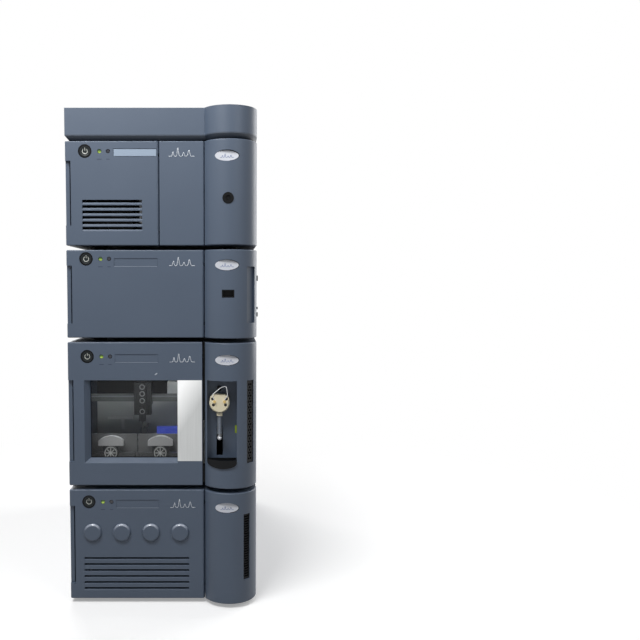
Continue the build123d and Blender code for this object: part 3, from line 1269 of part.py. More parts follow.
def make_sockets():
    """Network socket and signal terminals in each rear wall."""
    face = REAR - REAR_INSET + SOCKET_PROUD
    sockets = []
    for module in MODULES:
        x, z = LEFT + JACK_X, module.bottom + INLET_RISE
        wide, high = JACK_WIDTH / 2 - JACK_WALL, JACK_HEIGHT / 2 - JACK_WALL
        mouth = block(x - wide, x + wide, face - SOCKET_PROUD - JACK_DEPTH, face + 1, z - high, z + high)
        sockets.append(socket_body(x, z, JACK_WIDTH) - mouth)
        terminals = socket_body(LEFT + TERMINAL_X, z, TERMINAL_WIDTH)
        for i in range(TERMINALS):
            x = LEFT + TERMINAL_X + (i - (TERMINALS - 1) / 2) * TERMINAL_WIDTH / TERMINALS
            terminals -= rod_y(TERMINAL_HOLE, x, face - TERMINAL_HOLE_DEPTH, face + 1, z)
        sockets.append(terminals)
    return sockets


# ---- write every piece -----------------------------------------------------------------------------------------------------------------------
write(make_tray(), "solvent_tray")
write(make_liner(), "tray_liner")

for each in MODULES:
    write(make_chassis(each), f"{each.name}_chassis")
    write(make_cover(each), f"{each.name}_cover")
    write(make_button(each), f"{each.name}_power_button")

write(make_lamp_door(), "lamp_door")
write(make_name_plate(), "name_plate")
write(make_middle_panel(), "detector_panel")
write(make_detector_tower(), "detector_tower")
write(make_port_plug(), "port_plug")
write(make_lamp_housing(), "lamp_housing")
write(make_flow_cell(), "flow_cell")

write(make_column_door(), "column_door")
write(make_oven(), "oven_compartment")
write(make_oven_port(), "oven_port")
write(make_side_fittings(), "side_fittings")
write(make_trough(), "heater_trough")
write(make_separation_column(), "separation_column")
write(make_heat_exchanger(), "heat_exchanger")

write(make_sampler_door(), "sampler_door")
write(make_window(), "sampler_window")
write(make_strip(), "bright_strip")
write(make_sampler_tower(), "sampler_tower")
write(make_sampler_vent(), "sampler_vent")
for side, offset in zip(("left", "right"), CARRIER_X):
    write(make_carrier(LEFT + offset), f"{side}_carrier")
write(make_rail(), "needle_rail")
write(make_carriage(), "needle_carriage")
write(make_needle_arm(), "needle_arm")
write(make_valve(), "syringe_valve")
write(make_barrel(), "syringe_barrel")
write(make_plunger(), "syringe_plunger")
write(make_loop(), "capillary_loop")
write(make_cup(), "drip_cup")

write(make_pump_door(), "pump_door")
write(make_pump_tower(), "pump_tower")
write(make_pump_vent(), "pump_vent")
for number, x in enumerate(dome_places(), 1):
    write(make_pump_head(x), f"pump_head_{number}")
write(make_leak_tray(), "leak_tray")

write(make_feet(), "module_feet")
write([make_switch_guide(m) for m in MODULES], "switch_guides")
write(make_lights(RUN_LIGHT_X), "run_lights")
write(make_lights(FAULT_LIGHT_X), "fault_lights")
write([make_badge(m) for m in (pump, sampler, detector)], "oval_badges")
write(make_badge(column), "oven_badge")
pins = [hinge_pin(x, y, z) for m in MODULES for x, y, _ in hinge_places(m) for z in lug_levels(m)]
write(pins, "hinge_pins")
write(make_inlets(), "mains_inlets")
write(make_sockets(), "rear_sockets")
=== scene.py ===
# %% [markdown]
# # A liquid chromatography stack
# Four bench modules and a bottle tray stand on each other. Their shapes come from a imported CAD
# model, which stays as it is. This lesson gives the solids their finishes, adds the small pieces that
# CAD leaves out, and sets up a plain studio.

from math import cos, pi, radians, sin, sqrt

import bmesh
import bpy
from mathutils import Euler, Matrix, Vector


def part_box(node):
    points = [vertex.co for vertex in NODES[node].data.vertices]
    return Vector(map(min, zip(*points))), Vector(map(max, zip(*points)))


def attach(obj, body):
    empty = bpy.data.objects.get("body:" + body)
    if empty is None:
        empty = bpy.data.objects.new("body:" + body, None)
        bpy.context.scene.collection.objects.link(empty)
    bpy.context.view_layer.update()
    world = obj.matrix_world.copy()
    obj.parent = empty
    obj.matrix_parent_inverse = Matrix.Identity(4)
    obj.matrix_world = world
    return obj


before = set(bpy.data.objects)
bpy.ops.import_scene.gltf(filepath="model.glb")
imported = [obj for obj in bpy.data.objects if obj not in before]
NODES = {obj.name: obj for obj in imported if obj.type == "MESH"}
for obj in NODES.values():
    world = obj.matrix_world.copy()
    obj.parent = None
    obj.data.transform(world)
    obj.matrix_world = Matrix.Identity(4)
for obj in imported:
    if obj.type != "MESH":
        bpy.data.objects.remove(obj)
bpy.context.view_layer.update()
MM = 0.001

# %% [markdown]
# ## Sockets as Python values
# A finish is mostly arithmetic on textures. Adding a Math node by hand for each plus and times is
# slow to write and hard to read, so a small class wraps a socket and adds the node when Python meets
# an operator. Every other node comes from one method, which sets the node's own settings first and
# its sockets after that. Shader trees and geometry trees share both.

# %% Link and Graph
class Link:
    """An output socket that can stand in a Python sum."""

    def __init__(self, graph, socket):
        self.graph, self.socket = graph, socket

    def math(self, operation, *values):
        return self.graph.node("ShaderNodeMath", {"operation": operation}, values)

    def __add__(self, other):
        return self.math("ADD", self, other)

    def __sub__(self, other):
        return self.math("SUBTRACT", self, other)

    def __rsub__(self, other):
        return self.math("SUBTRACT", other, self)

    def __mul__(self, other):
        return self.math("MULTIPLY", self, other)

    def __truediv__(self, other):
        return self.math("DIVIDE", self, other)

    def __pow__(self, other):
        return self.math("POWER", self, other)

    def __lt__(self, other):
        return self.math("LESS_THAN", self, other)

    def __gt__(self, other):
        return self.math("GREATER_THAN", self, other)

    def __abs__(self):
        return self.math("ABSOLUTE", self)

    __radd__ = __add__
    __rmul__ = __mul__


class Graph:
    """A node tree that is written as Python expressions."""

    def __init__(self, tree):
        self.tree = tree

    def feed(self, socket, value):
        if isinstance(value, Link):
            self.tree.links.new(value.socket, socket)
        elif socket.type == "RGBA" and len(value) == 3:
            socket.default_value = (*value, 1.0)
        else:
            socket.default_value = value

    def node(self, kind, settings=None, inputs=(), output=0):
        """Adds a node and returns one of its outputs."""
        made = self.tree.nodes.new(kind)
        for name, value in (settings or {}).items():
            if name == "stops":
                first, *others = value
                elements = made.color_ramp.elements
                elements.remove(elements[1])
                elements[0].position, elements[0].color = first[0], (*first[1], 1.0)
                for place, colour in others:
                    elements.new(place).color = (*colour, 1.0)
            else:
                setattr(made, name, value)
        for key, value in inputs.items() if isinstance(inputs, dict) else enumerate(inputs):
            self.feed(made.inputs[key], value)
        return Link(self, made.outputs[output])


def srgb(red, green, blue):
    """A colour from 0 to 255 a channel, as the shader wants it."""
    return tuple((c / 255) ** 2.2 for c in (red, green, blue))


print("a colour:", [round(c, 3) for c in srgb(104, 115, 130)])

# %% [markdown]
# ## A finish
# Each material has one Principled shader. Patterns read Object coordinates. Every solid sits at the
# origin, so these are metres in the whole stack's frame, and a pattern runs on from piece to piece.
# Numbers that are the same all over go straight on the shader's sockets.

# %% Finish
FINISHES = {}


class Finish(Graph):
    """A material with one Principled shader."""

    def __init__(self, name, colour, roughness, **sockets):
        self.material = bpy.data.materials.new(name)
        self.material.use_nodes = True
        super().__init__(self.material.node_tree)
        self.shader = self.tree.nodes["Principled BSDF"]
        self.place = self.node("ShaderNodeTexCoord", output="Object")
        self.set("Base Color", colour)
        self.set("Roughness", roughness)
        for socket, value in sockets.items():
            self.set(socket.replace("_", " "), value)
        FINISHES[name] = self.material

    def set(self, socket, value):
        self.feed(self.shader.inputs[socket], value)

    def fed(self, socket):
        """What feeds a socket now."""
        return Link(self, self.shader.inputs[socket].links[0].from_socket)

    def paint(self, mask, colour):
        """Lays a colour over the present one, where the mask is 1."""
        self.set("Base Color", self.mix(mask, self.fed("Base Color"), colour))

    def axes(self):
        """The place, as three numbers."""
        return [self.node("ShaderNodeSeparateXYZ", inputs=[self.place], output=i) for i in range(3)]

    def noise(self, scale, detail=2.0, stretch=(1, 1, 1)):
        spread = self.node("ShaderNodeVectorMath", {"operation": "MULTIPLY"}, [self.place, stretch])
        return self.node("ShaderNodeTexNoise", inputs={"Vector": spread, "Scale": scale, "Detail": detail})

    def mix(self, factor, first, second):
        return self.node("ShaderNodeMix", {"data_type": "RGBA"}, {0: factor, 6: first, 7: second}, output=2)

    def ramp(self, factor, stops):
        return self.node("ShaderNodeValToRGB", {"stops": stops}, [factor])

    def bump(self, height, depth):
        """Bump whose height from 0 to 1 stands for a depth in metres."""
        self.set("Normal", self.node("ShaderNodeBump",
                                     inputs={"Height": height, "Distance": depth, "Strength": 1.0}))


print("patterns read the place in metres")

# %% [markdown]
# ## Moulded slate
# Doors, towers and the tray are moulded in a dark slate blue with a fine satin texture. A flat
# colour would look like paper, so the colour drifts a little over a hand's width, and a fine grain
# moves both the roughness and the bump. The grain is the same on every moulding, as one supplier's
# tool texture is.

# %% Slate mouldings
def slate(name, dark, light, roughness, grain_size, grain_depth):
    """Satin finish in slate blue."""
    finish = Finish(name, light, roughness)
    drift = finish.noise(9.0, 3.0)
    grain = finish.noise(1.0 / grain_size, 2.0)
    finish.set("Base Color", finish.mix(0.75 * drift + 0.25 * grain, dark, light))
    finish.set("Roughness", roughness - 0.05 + 0.07 * drift + 0.05 * grain)
    finish.bump(grain, grain_depth)
    return finish


MOULDED = (srgb(79, 91, 108), srgb(87, 99, 116), 0.40, 0.0011, 0.00005)
slate("moulded_slate", *MOULDED)
slate("sheet_slate", srgb(66, 76, 92), srgb(73, 84, 101), 0.52, 0.0016, 0.00012)
print("finishes so far:", sorted(FINISHES))

# %% [markdown]
# The sampler's door has a tiny white scuff above its window. It is a mask on the same finish: a
# stretched spot on a slant, broken up by noise.

# %% Scuffed door
low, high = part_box("sampler_window")
SCUFF_X, SCUFF_Z = high[0] - 43.65 * MM, high[2] + 6.5 * MM
SCUFF_LONG, SCUFF_WIDE = 3.0 * MM, 1.1 * MM
SLANT_COS, SLANT_SIN = 0.80, 0.60
scuffed = slate("scuffed_slate", *MOULDED)
x, _, z = scuffed.axes()
right, up = x - SCUFF_X, z - SCUFF_Z
along = (right * SLANT_COS + up * SLANT_SIN) / SCUFF_LONG
across = (up * SLANT_COS - right * SLANT_SIN) / SCUFF_WIDE
spot = (along**2.0 + across**2.0) < (0.4 + scuffed.noise(700.0, 3.0))
scuffed.paint(spot * 0.8, srgb(205, 212, 222))
print("scuff at", round(SCUFF_X, 4), round(SCUFF_Z, 4))

# %% [markdown]
# The pump door's four round bosses catch a bright crescent of light along their upper edge, and the
# tray's undercut lies in deep shade. Soft boxes as large as this studio's give neither, so the light
# and the shade are painted on the same slate: a ring about each boss that fades out downwards, and a
# band of height. Neither stands for wear or dirt.

# %% Light on the bosses, shade below the tray
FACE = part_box("column_door")[0][1]
RIM_INSIDE, RIM_OUTSIDE, RIM_PROUD = 13.4 * MM, 16.8 * MM, 1.2 * MM
FADE_FROM, FADE_OVER = 5 * MM, 9 * MM
highlighted = slate("polished_slate", *MOULDED)
x, y, z = highlighted.axes()
rim = x * 0.0
heads = [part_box(f"pump_head_{i}") for i in (1, 2, 3, 4)]
for low, high in heads:
    across, up = x - (low[0] + high[0]) / 2, z - (low[2] + high[2]) / 2
    reach = across * across + up * up
    upper = (up > FADE_FROM) * (up - FADE_FROM) / FADE_OVER
    rim = rim + (reach > RIM_INSIDE**2) * (reach < RIM_OUTSIDE**2) * (y < (FACE - RIM_PROUD)) * upper
highlighted.set("Roughness", highlighted.fed("Roughness") - 0.16 * rim)
highlighted.set("Coat Weight", rim)
# Painted highlight: a pale crescent along the upper rim of each boss.
highlighted.paint(rim * 0.55, srgb(196, 204, 220))

shaded = slate("tray_slate", *MOULDED)
_, _, z = shaded.axes()
tray_foot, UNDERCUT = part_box("solvent_tray")[0][2], 12 * MM
under = shaded.ramp((z - tray_foot) / UNDERCUT,
                    [(0.0, (1.0, 1.0, 1.0)), (0.9, (0.35, 0.35, 0.35)), (1.0, (0.0, 0.0, 0.0))])
shaded.paint(under, srgb(14, 17, 24))
print("pump bosses at", [round((low[0] + high[0]) / 2, 4) for low, high in heads])

# %% [markdown]
# ## Dark metal, rubber and black plastic
# The bays behind the doors are sprayed in a dark grey. Rubber and plastic differ mainly in how they
# take light: rubber is rough with a coarse grain, moulded plastic is smoother. The blacks mirror
# little, so that they stay black under the soft boxes. Two of the finishes give light: the lamp's
# diffuser in the sample chamber, and faintly the blue guide. The guide is no lamp: its glow is
# painted light, which keeps up the blue that the tinted pane would otherwise swallow.

# %% Dark finishes
def grained(name, dark, light, roughness, grain_size, grain_depth, **sockets):
    """Plain moulded or sprayed finish with a grain."""
    finish = Finish(name, light, roughness, **sockets)
    grain = finish.noise(1.0 / grain_size, 3.0)
    drift = finish.noise(14.0, 2.0)
    finish.set("Base Color", finish.mix(0.5 * drift + 0.5 * grain, dark, light))
    finish.set("Roughness", roughness - 0.06 + 0.12 * drift)
    finish.bump(grain, grain_depth)
    return finish


GUIDE_GLOW, CHAMBER_LIGHT = 0.7, 16.0
DULL = ("black_rubber", "black_plastic", "anodised_dark", "guide_black", "button_dark")
# Each finish: darker and lighter colour, roughness, and the grain's size and depth in metres.
GRAINED = {
    "bay_paint": ((52, 56, 62), (62, 66, 72), 0.50, 0.0012, 0.00008),
    "black_rubber": ((7, 8, 10), (15, 16, 18), 0.72, 0.0008, 0.00010),
    "mat_rubber": ((58, 61, 66), (72, 75, 80), 0.78, 0.0010, 0.00012),
    "black_plastic": ((6, 7, 10), (12, 14, 17), 0.46, 0.0009, 0.00004),
    "anodised_dark": ((10, 11, 13), (18, 19, 22), 0.40, 0.0009, 0.00003),
    "guide_black": ((5, 7, 11), (10, 13, 18), 0.40, 0.0009, 0.00002),
    "button_dark": ((36, 40, 42), (48, 52, 53), 0.40, 0.0006, 0.00002),
    "connector_black": ((20, 21, 22), (30, 31, 33), 0.45, 0.0010, 0.00005),
    "carriage_dark": ((52, 54, 56), (66, 68, 70), 0.40, 0.0012, 0.00004),
    "bracket_grey": ((120, 123, 122), (136, 139, 138), 0.42, 0.0012, 0.00004),
    "drawer_dark": ((120, 122, 123), (130, 132, 133), 0.44, 0.0012, 0.00004),
    "bracket_light": ((226, 229, 227), (238, 241, 238), 0.42, 0.0012, 0.00004),
    "light_moulding": ((150, 154, 158), (172, 176, 180), 0.40, 0.0012, 0.00004),
    "name_film": ((148, 164, 184), (160, 176, 194), 0.34, 0.0005, 0.00001),
    "tag_green": ((120, 140, 20), (142, 162, 34), 0.45, 0.0008, 0.00003),
    "print_pale": ((204, 210, 218), (214, 220, 228), 0.45, 0.0004, 0.00001),
    "symbol_pale": ((200, 203, 196), (214, 217, 210), 0.45, 0.0004, 0.00001),
    "mark_dark": ((44, 52, 72), (52, 60, 80), 0.50, 0.0004, 0.00001),
    "edge_light": ((132, 142, 158), (150, 160, 174), 0.40, 0.0004, 0.00001),
    "badge_ink": ((136, 150, 186), (146, 160, 194), 0.40, 0.0004, 0.00001),
    "field_line": ((52, 62, 80), (60, 70, 88), 0.5, 0.0004, 0.00001),
}
for name, (dark, light, *grain) in GRAINED.items():
    sockets = {"Specular_IOR_Level": 0.18} if name in DULL else {}
    grained(name, srgb(*dark), srgb(*light), *grain, **sockets)
grained("plunger_white", srgb(214, 216, 220), srgb(232, 234, 238), 0.22, 0.0012, 0.00001, Coat_Weight=0.4)
blue = grained("blue_guide", srgb(52, 64, 150), srgb(84, 100, 200), 0.30, 0.0060, 0.00002)
# Painted light: the blue guide glows, though it is no lamp.
blue.set("Emission Color", blue.mix(blue.noise(60.0, 1.0), srgb(30, 40, 120), srgb(80, 96, 205)))
blue.set("Emission Strength", GUIDE_GLOW)
lit = grained("lit_diffuser", srgb(226, 230, 232), srgb(236, 240, 242), 0.50, 0.0010, 0.00001)
lit.set("Emission Color", lit.mix(lit.noise(40.0, 1.0), srgb(236, 242, 244), srgb(250, 253, 255)))
lit.set("Emission Strength", CHAMBER_LIGHT)
print("finishes so far:", len(FINISHES))

# %% [markdown]
# The sample chamber is sprayed lighter than the other bays, and the tinted pane takes much of that
# light away again. Above its rail the wall is painted dark, a painted shade for the shadow in the
# top of the chamber. The chassis is one solid, so its back and its underside, which lie outside the
# chamber, are told apart by their place. The two carriers are dark mouldings with pale pulls and
# grey knobs. A carrier, its pull and its knob are one solid too: a pull is whatever stands above a
# height, and a knob is a disc about its own centre.

# %% Chamber and carriers
low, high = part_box("left_carrier")
chamber_floor, carrier_front = low[2], low[1]
REAR_WALL = -37.8 * MM
chamber = grained("chamber_paint", srgb(202, 205, 203), srgb(214, 217, 214), 0.50, 0.0012, 0.00006)
_, y, z = chamber.axes()
outside = (y > (REAR_WALL + 0.6 * MM)) + (z < (chamber_floor - 1.5 * MM))
# Painted shade: the wall above the rail is dark.
chamber.paint(z > (chamber_floor + 80 * MM), srgb(34, 36, 38))
chamber.paint(outside > 0.5, srgb(57, 61, 67))

PULL_RISE, KNOB_RISE, KNOB_RADIUS, KNOB_DEPTH = 28.9 * MM, 16 * MM, 11.9 * MM, 8.2 * MM
carrier = grained("carrier_two_tone", srgb(84, 86, 87), srgb(96, 98, 99), 0.44, 0.0012, 0.00004)
x, y, z = carrier.axes()
knob = x * 0.0
for side in ("left", "right"):
    low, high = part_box(f"{side}_carrier")
    across, up = x - (low[0] + high[0]) / 2, z - (chamber_floor + KNOB_RISE)
    knob = knob + ((across * across + up * up) < KNOB_RADIUS**2) * (y < (carrier_front + KNOB_DEPTH))
carrier.paint(z > (chamber_floor + PULL_RISE), srgb(220, 222, 223))
carrier.paint(knob, srgb(96, 98, 99))
print("chamber floor at", round(chamber_floor, 4), "rear wall at y", round(REAR_WALL, 4))

# %% [markdown]
# ## Metals
# Brushed metal has long fine scratches in one direction. Stretching a noise texture makes them: the
# scratches show in the roughness and as a very shallow bump. Turned parts use the same idea with
# shorter streaks. The bright strip also mirrors a room that grows paler towards its upper left. The
# studio has no such room, so a gradient of colour stands in for it.

# %% Metal finishes
def brushed(name, dark, light, roughness, stretch, depth, **sockets):
    """Metal with scratches that run along the axis with the small stretch."""
    finish = Finish(name, light, roughness, Metallic=1.0, **sockets)
    scratch = finish.noise(900.0, 4.0, stretch)
    drift = finish.noise(16.0, 2.0)
    finish.set("Base Color", finish.mix(0.7 * scratch + 0.3 * drift, dark, light))
    finish.set("Roughness", roughness - 0.08 + 0.16 * scratch)
    finish.bump(scratch, depth)
    return finish


strip = brushed("brushed_strip", srgb(166, 168, 168), srgb(206, 208, 208), 0.36, (1, 1, 0.012), 0.00002)
brushed("turned_steel", srgb(176, 176, 174), srgb(206, 206, 204), 0.26, (1, 0.08, 1), 0.00001)
brushed("capillary_steel", srgb(196, 198, 200), srgb(222, 224, 226), 0.20, (1, 1, 0.2), 0.00001)
brushed("cast_aluminium", srgb(158, 160, 162), srgb(184, 186, 188), 0.46, (1, 1, 1), 0.00006)
brushed("zinc_screw", srgb(150, 152, 154), srgb(186, 188, 190), 0.34, (1, 1, 1), 0.00002)
x, _, z = strip.axes()
low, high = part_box("bright_strip")
rise = (z - low[2]) / (high[2] - low[2])
across = (x - low[0]) / (high[0] - low[0])
sheen = strip.ramp(rise - 0.45 * across, [(0.30, (0.0, 0.0, 0.0)), (0.85, (1.0, 1.0, 1.0))])
strip.paint(sheen, srgb(250, 251, 251))
badge = grained("badge_silver", srgb(214, 217, 226), srgb(226, 229, 236), 0.36, 0.0007, 0.00001)
badge.set("Metallic", 0.15)
print("finishes so far:", len(FINISHES))

# %% [markdown]
# ## Glass and lenses
# The sampler's pane is tinted, and one looks through it into a dim chamber. Transparency by Alpha
# lets light through to the chamber as well, which a refracting glass would mostly block. The green
# lamps are lit, and the bright spot below the middle of each lens is painted light, so the emission
# follows the height inside each lens.

# %% Glass and lenses
MODULES = ("pump", "sampler", "column", "detector")
pane = Finish("tinted_pane", srgb(34, 36, 38), 0.04, IOR=1.5)
haze = pane.noise(30.0, 2.0)
pane.set("Alpha", 0.14 + 0.05 * haze)
pane.set("Roughness", 0.03 + 0.04 * haze)

barrel = Finish("barrel_glass", srgb(150, 158, 168), 0.05, IOR=1.47)
barrel.set("Alpha", 0.50 + 0.1 * barrel.noise(60.0, 1.0))

green = Finish("green_lens", srgb(46, 66, 20), 0.25, Coat_Weight=0.5)
LENS_REACH, LENS_FADE = 4 * MM, 5 * MM
_, _, z = green.axes()
depth = z * 0.0
for module in MODULES:
    low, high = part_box(f"{module}_power_button")
    local = z - (low[2] + high[2]) / 2
    depth = depth + (abs(local) < LENS_REACH) * (0.55 - local / LENS_FADE)
speckle = green.noise(420.0, 2.0)
# Painted light: the glow grows brighter towards the bottom of each lens.
glow = green.ramp(0.75 * depth + 0.25 * speckle,
                  [(0.0, srgb(10, 22, 6)), (0.45, srgb(60, 92, 14)), (0.95, srgb(196, 226, 84))])
green.set("Emission Color", glow)
green.set("Emission Strength", 0.85)
unlit = Finish("dark_lens", srgb(20, 24, 40), 0.22, Coat_Weight=0.5)
unlit.set("Roughness", 0.18 + 0.1 * unlit.noise(300.0, 2.0))
print("finishes:", len(FINISHES))

# %% [markdown]
# ## The syringe's valve head
# The CAD solid is one ivory body with two threaded fittings and four ports. The fittings are brass
# on the real part. They are the only thing that stands in front of the body's face, so the place
# along Y tells them apart. The ports are told apart by their distance from four centres, and they are
# painted dark inside, a painted shade for the depth of the holes.

# %% Ivory valve with brass fittings
low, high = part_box("syringe_valve")
valve_x, valve_z = (low[0] + high[0]) / 2, high[2] - 14.2 * MM
valve_face = low[1] + 3.0 * MM
PORTS, PORT_RADIUS, PORT_DEPTH = ((12.4, 7.3), (11.0, -3.8)), 2.75 * MM, 5.2 * MM
ivory = Finish("valve_ivory", srgb(246, 236, 204), 0.34, Coat_Weight=0.25)
x, y, z = ivory.axes()
cloud = ivory.noise(60.0, 3.0)
fitting = y < (valve_face - 0.2 * MM)
port = y * 0.0
for across, rise in PORTS:
    side, up = abs(x - valve_x) - across * MM, z - (valve_z + rise * MM)
    port = port + ((side * side + up * up) < PORT_RADIUS**2) * (y < (valve_face + PORT_DEPTH))
ivory.set("Base Color", ivory.mix(cloud, srgb(242, 230, 194), srgb(250, 241, 212)))
# Painted shade: dark inside the ports.
ivory.paint(port, srgb(44, 34, 30))
ivory.paint(fitting, srgb(196, 168, 108))
ivory.set("Metallic", fitting)
ivory.set("Roughness", 0.28 + 0.1 * cloud)
ivory.bump(cloud, 0.00002)
print("valve centre", round(valve_x, 4), round(valve_z, 4))

# %% [markdown]
# ## Giving the solids their finishes
# One table says which nodes take each finish. Names that end alike, such as the four covers, share an
# entry in a second one, and whatever neither names is moulded slate.

# %% Assign
NODES_IN = {
    "tray_slate": "solvent_tray",
    "mat_rubber": "tray_liner",
    "scuffed_slate": "sampler_door",
    "polished_slate": "pump_door",
    "black_rubber": "port_plug module_feet",
    "black_plastic": "oven_port side_fittings sampler_vent pump_vent drip_cup leak_tray",
    "anodised_dark": "lamp_housing",
    "cast_aluminium": "flow_cell heat_exchanger heater_trough",
    "turned_steel": "pump_head_1 pump_head_2 pump_head_3 pump_head_4 separation_column hinge_pins",
    "name_film": "name_plate",
    "tinted_pane": "sampler_window",
    "brushed_strip": "bright_strip",
    "carrier_two_tone": "left_carrier right_carrier",
    "bracket_grey": "needle_rail",
    "carriage_dark": "needle_carriage needle_arm",
    "chamber_paint": "sampler_chassis",
    "valve_ivory": "syringe_valve",
    "barrel_glass": "syringe_barrel",
    "plunger_white": "syringe_plunger",
    "capillary_steel": "capillary_loop",
    "guide_black": "switch_guides",
    "green_lens": "run_lights",
    "dark_lens": "fault_lights",
    "badge_silver": "oval_badges oven_badge",
    "connector_black": "mains_inlets rear_sockets",
}
FINISH_OF = {name: finish for finish, names in NODES_IN.items() for name in names.split()}
ENDINGS = {"_chassis": "bay_paint", "_cover": "sheet_slate", "_power_button": "button_dark"}
for name, node in NODES.items():
    by_ending = next((finish for end, finish in ENDINGS.items() if name.endswith(end)), "moulded_slate")
    for slot in node.material_slots:
        slot.material = FINISHES[FINISH_OF.get(name, by_ending)]
print("dressed", len(NODES), "nodes")

# %% [markdown]
# ## Ribbons for printed marks
# Symbols, rings and outlines are thin raised strips. Each follows a path of points in the plane of
# the front, with u to the right and w up. A small function says where a point lies in space, so the
# power symbol can follow the dished button. The strip is a closed solid with a front, a back and
# sides. Three more helpers turn strips into a piece that rides on a body.

# %% Ribbons and pieces
def ribbon(mesh, path, width, lay, thickness, closed=False):
    """Adds a closed strip along path to a bmesh."""
    count = len(path)
    rings = []
    for i, (u, w) in enumerate(path):
        before = path[i - 1] if closed or i else path[i]
        after = path[(i + 1) % count] if closed or i < count - 1 else path[i]
        along = Vector((after[0] - before[0], after[1] - before[1])).normalized()
        out = Vector((-along[1], along[0])) * width / 2
        front = [lay(u + s * out[0], w + s * out[1]) for s in (1, -1)]
        back = [point + Vector((0, thickness, 0)) for point in reversed(front)]
        rings.append([mesh.verts.new(p) for p in front + back])
    for i in range(count if closed else count - 1):
        here, there = rings[i], rings[(i + 1) % count]
        for k in range(4):
            mesh.faces.new((here[k], here[(k + 1) % 4], there[(k + 1) % 4], there[k]))
    if not closed:
        mesh.faces.new(rings[0])
        mesh.faces.new(list(reversed(rings[-1])))


def placed(name, data):
    """An object in the scene that shows the data."""
    made = bpy.data.objects.new(name, data)
    bpy.context.scene.collection.objects.link(made)
    return made


def finish_piece(name, mesh, finish, body):
    """Turns a bmesh into a piece that rides on a body."""
    bmesh.ops.recalc_face_normals(mesh, faces=mesh.faces)
    data = bpy.data.meshes.new(name)
    mesh.to_mesh(data)
    mesh.free()
    data.materials.append(FINISHES[finish])
    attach(placed(name, data), body)


def ribbon_piece(name, finish, body, lay, thickness, strips, closed=False):
    """A piece of one or more ribbons, each given by a path and a width."""
    mesh = bmesh.new()
    for path, width in strips:
        ribbon(mesh, path, width, lay, thickness, closed)
    finish_piece(name, mesh, finish, body)


def arc(radius, start, end, count, squash=1.0):
    """Points on a circle or an ellipse, from the top clockwise, in degrees."""
    steps = [radians(start + (end - start) * i / count) for i in range(count + 1)]
    return [(radius * sin(a), radius * squash * cos(a)) for a in steps]


print("an arc starts at its top:", arc(1.0, 0, 90, 1)[0])

# %% [markdown]
# ## Power symbols
# A broken ring and a bar, printed on the dished face of each button. They ride on the buttons, so
# they go in with them.

# %% Power symbols
DISH, DISH_RADIUS = 1.2 * MM, 29.3 * MM
HAIR = 0.12 * MM
SYMBOL_RADIUS, SYMBOL_GAP, SYMBOL_STROKE = 4.5 * MM, 36, 0.95 * MM
centres = {}
for module in MODULES:
    low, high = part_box(f"{module}_power_button")
    cx, cz, face = (low[0] + high[0]) / 2, (low[2] + high[2]) / 2, low[1]
    centres[module] = (cx, face, cz)

    def on_dish(u, w):
        """The dished face, a hair in front of it."""
        r2 = u * u + w * w
        return Vector((cx + u, face + DISH - DISH_RADIUS + sqrt(DISH_RADIUS**2 - r2) - HAIR, cz + w))

    broken_ring = arc(SYMBOL_RADIUS, SYMBOL_GAP, 360 - SYMBOL_GAP, 40)
    bar = [(0, (1.2 + 0.5 * i) * MM) for i in range(11)]
    ribbon_piece(f"{module}_power_symbol", "symbol_pale", f"{module}_power_button", on_dish, 0.3 * MM,
                 [(broken_ring, SYMBOL_STROKE), (bar, SYMBOL_STROKE)])
print("buttons at", {m: [round(c, 3) for c in p] for m, p in centres.items()})

# %% [markdown]
# ## Geometry Nodes for what follows a rule
# A tree is built once and used for several pieces. Its inputs are named after the sizes they set, and
# a modifier's values are given by each socket's identifier. The evaluated result becomes a plain mesh
# and the modifier goes, because the stack's table only knows plain pieces.

# %% Geometry trees
class Recipe(Graph):
    """A geometry tree with named inputs."""

    KINDS = {float: "NodeSocketFloat", int: "NodeSocketInt", tuple: "NodeSocketVector"}

    def __init__(self, name, **defaults):
        super().__init__(bpy.data.node_groups.new(name, "GeometryNodeTree"))
        face = self.tree.interface
        face.new_socket("Geometry", in_out="INPUT", socket_type="NodeSocketGeometry")
        face.new_socket("Finish", in_out="INPUT", socket_type="NodeSocketMaterial")
        for label, value in defaults.items():
            socket = face.new_socket(label.replace("_", " "), in_out="INPUT",
                                     socket_type=self.KINDS[type(value)])
            socket.default_value = value
        face.new_socket("Geometry", in_out="OUTPUT", socket_type="NodeSocketGeometry")
        self.inlet = self.tree.nodes.new("NodeGroupInput")
        self.outlet = self.tree.nodes.new("NodeGroupOutput")
        print("recipe", name, "takes", ", ".join(defaults))

    def given(self, label):
        return Link(self, self.inlet.outputs[label])

    def vector(self, x=0.0, y=0.0, z=0.0):
        return self.node("ShaderNodeCombineXYZ", inputs=[x, y, z])

    def close(self, geometry):
        """Realize Instances, then Set Material, then the output."""
        real = self.node("GeometryNodeRealizeInstances", inputs=[geometry])
        done = self.node("GeometryNodeSetMaterial",
                         inputs={"Geometry": real, "Material": self.given("Finish")})
        self.tree.links.new(done.socket, self.outlet.inputs[0])

    def make(self, name, finish, body, points=(), path=False, **values):
        """Runs the tree on points, or on a path through them, and returns a plain piece."""
        data = bpy.data.meshes.new(name)
        data.from_pydata(list(points), [(i, i + 1) for i in range(len(points) - 1)] if path else [], [])
        piece = placed(name, data)
        modifier = piece.modifiers.new(name, "NODES")
        modifier.node_group = self.tree
        wanted = {"Finish": FINISHES[finish]} | {k.replace("_", " "): v for k, v in values.items()}
        for item in self.tree.interface.items_tree:
            if item.in_out == "INPUT" and item.name in wanted:
                modifier[item.identifier] = wanted.pop(item.name)
        assert not wanted, wanted
        graph = bpy.context.evaluated_depsgraph_get()
        result = bpy.data.meshes.new_from_object(piece.evaluated_get(graph), depsgraph=graph)
        piece.modifiers.clear()
        piece.data = result
        result.name = name
        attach(piece, body)
        return piece


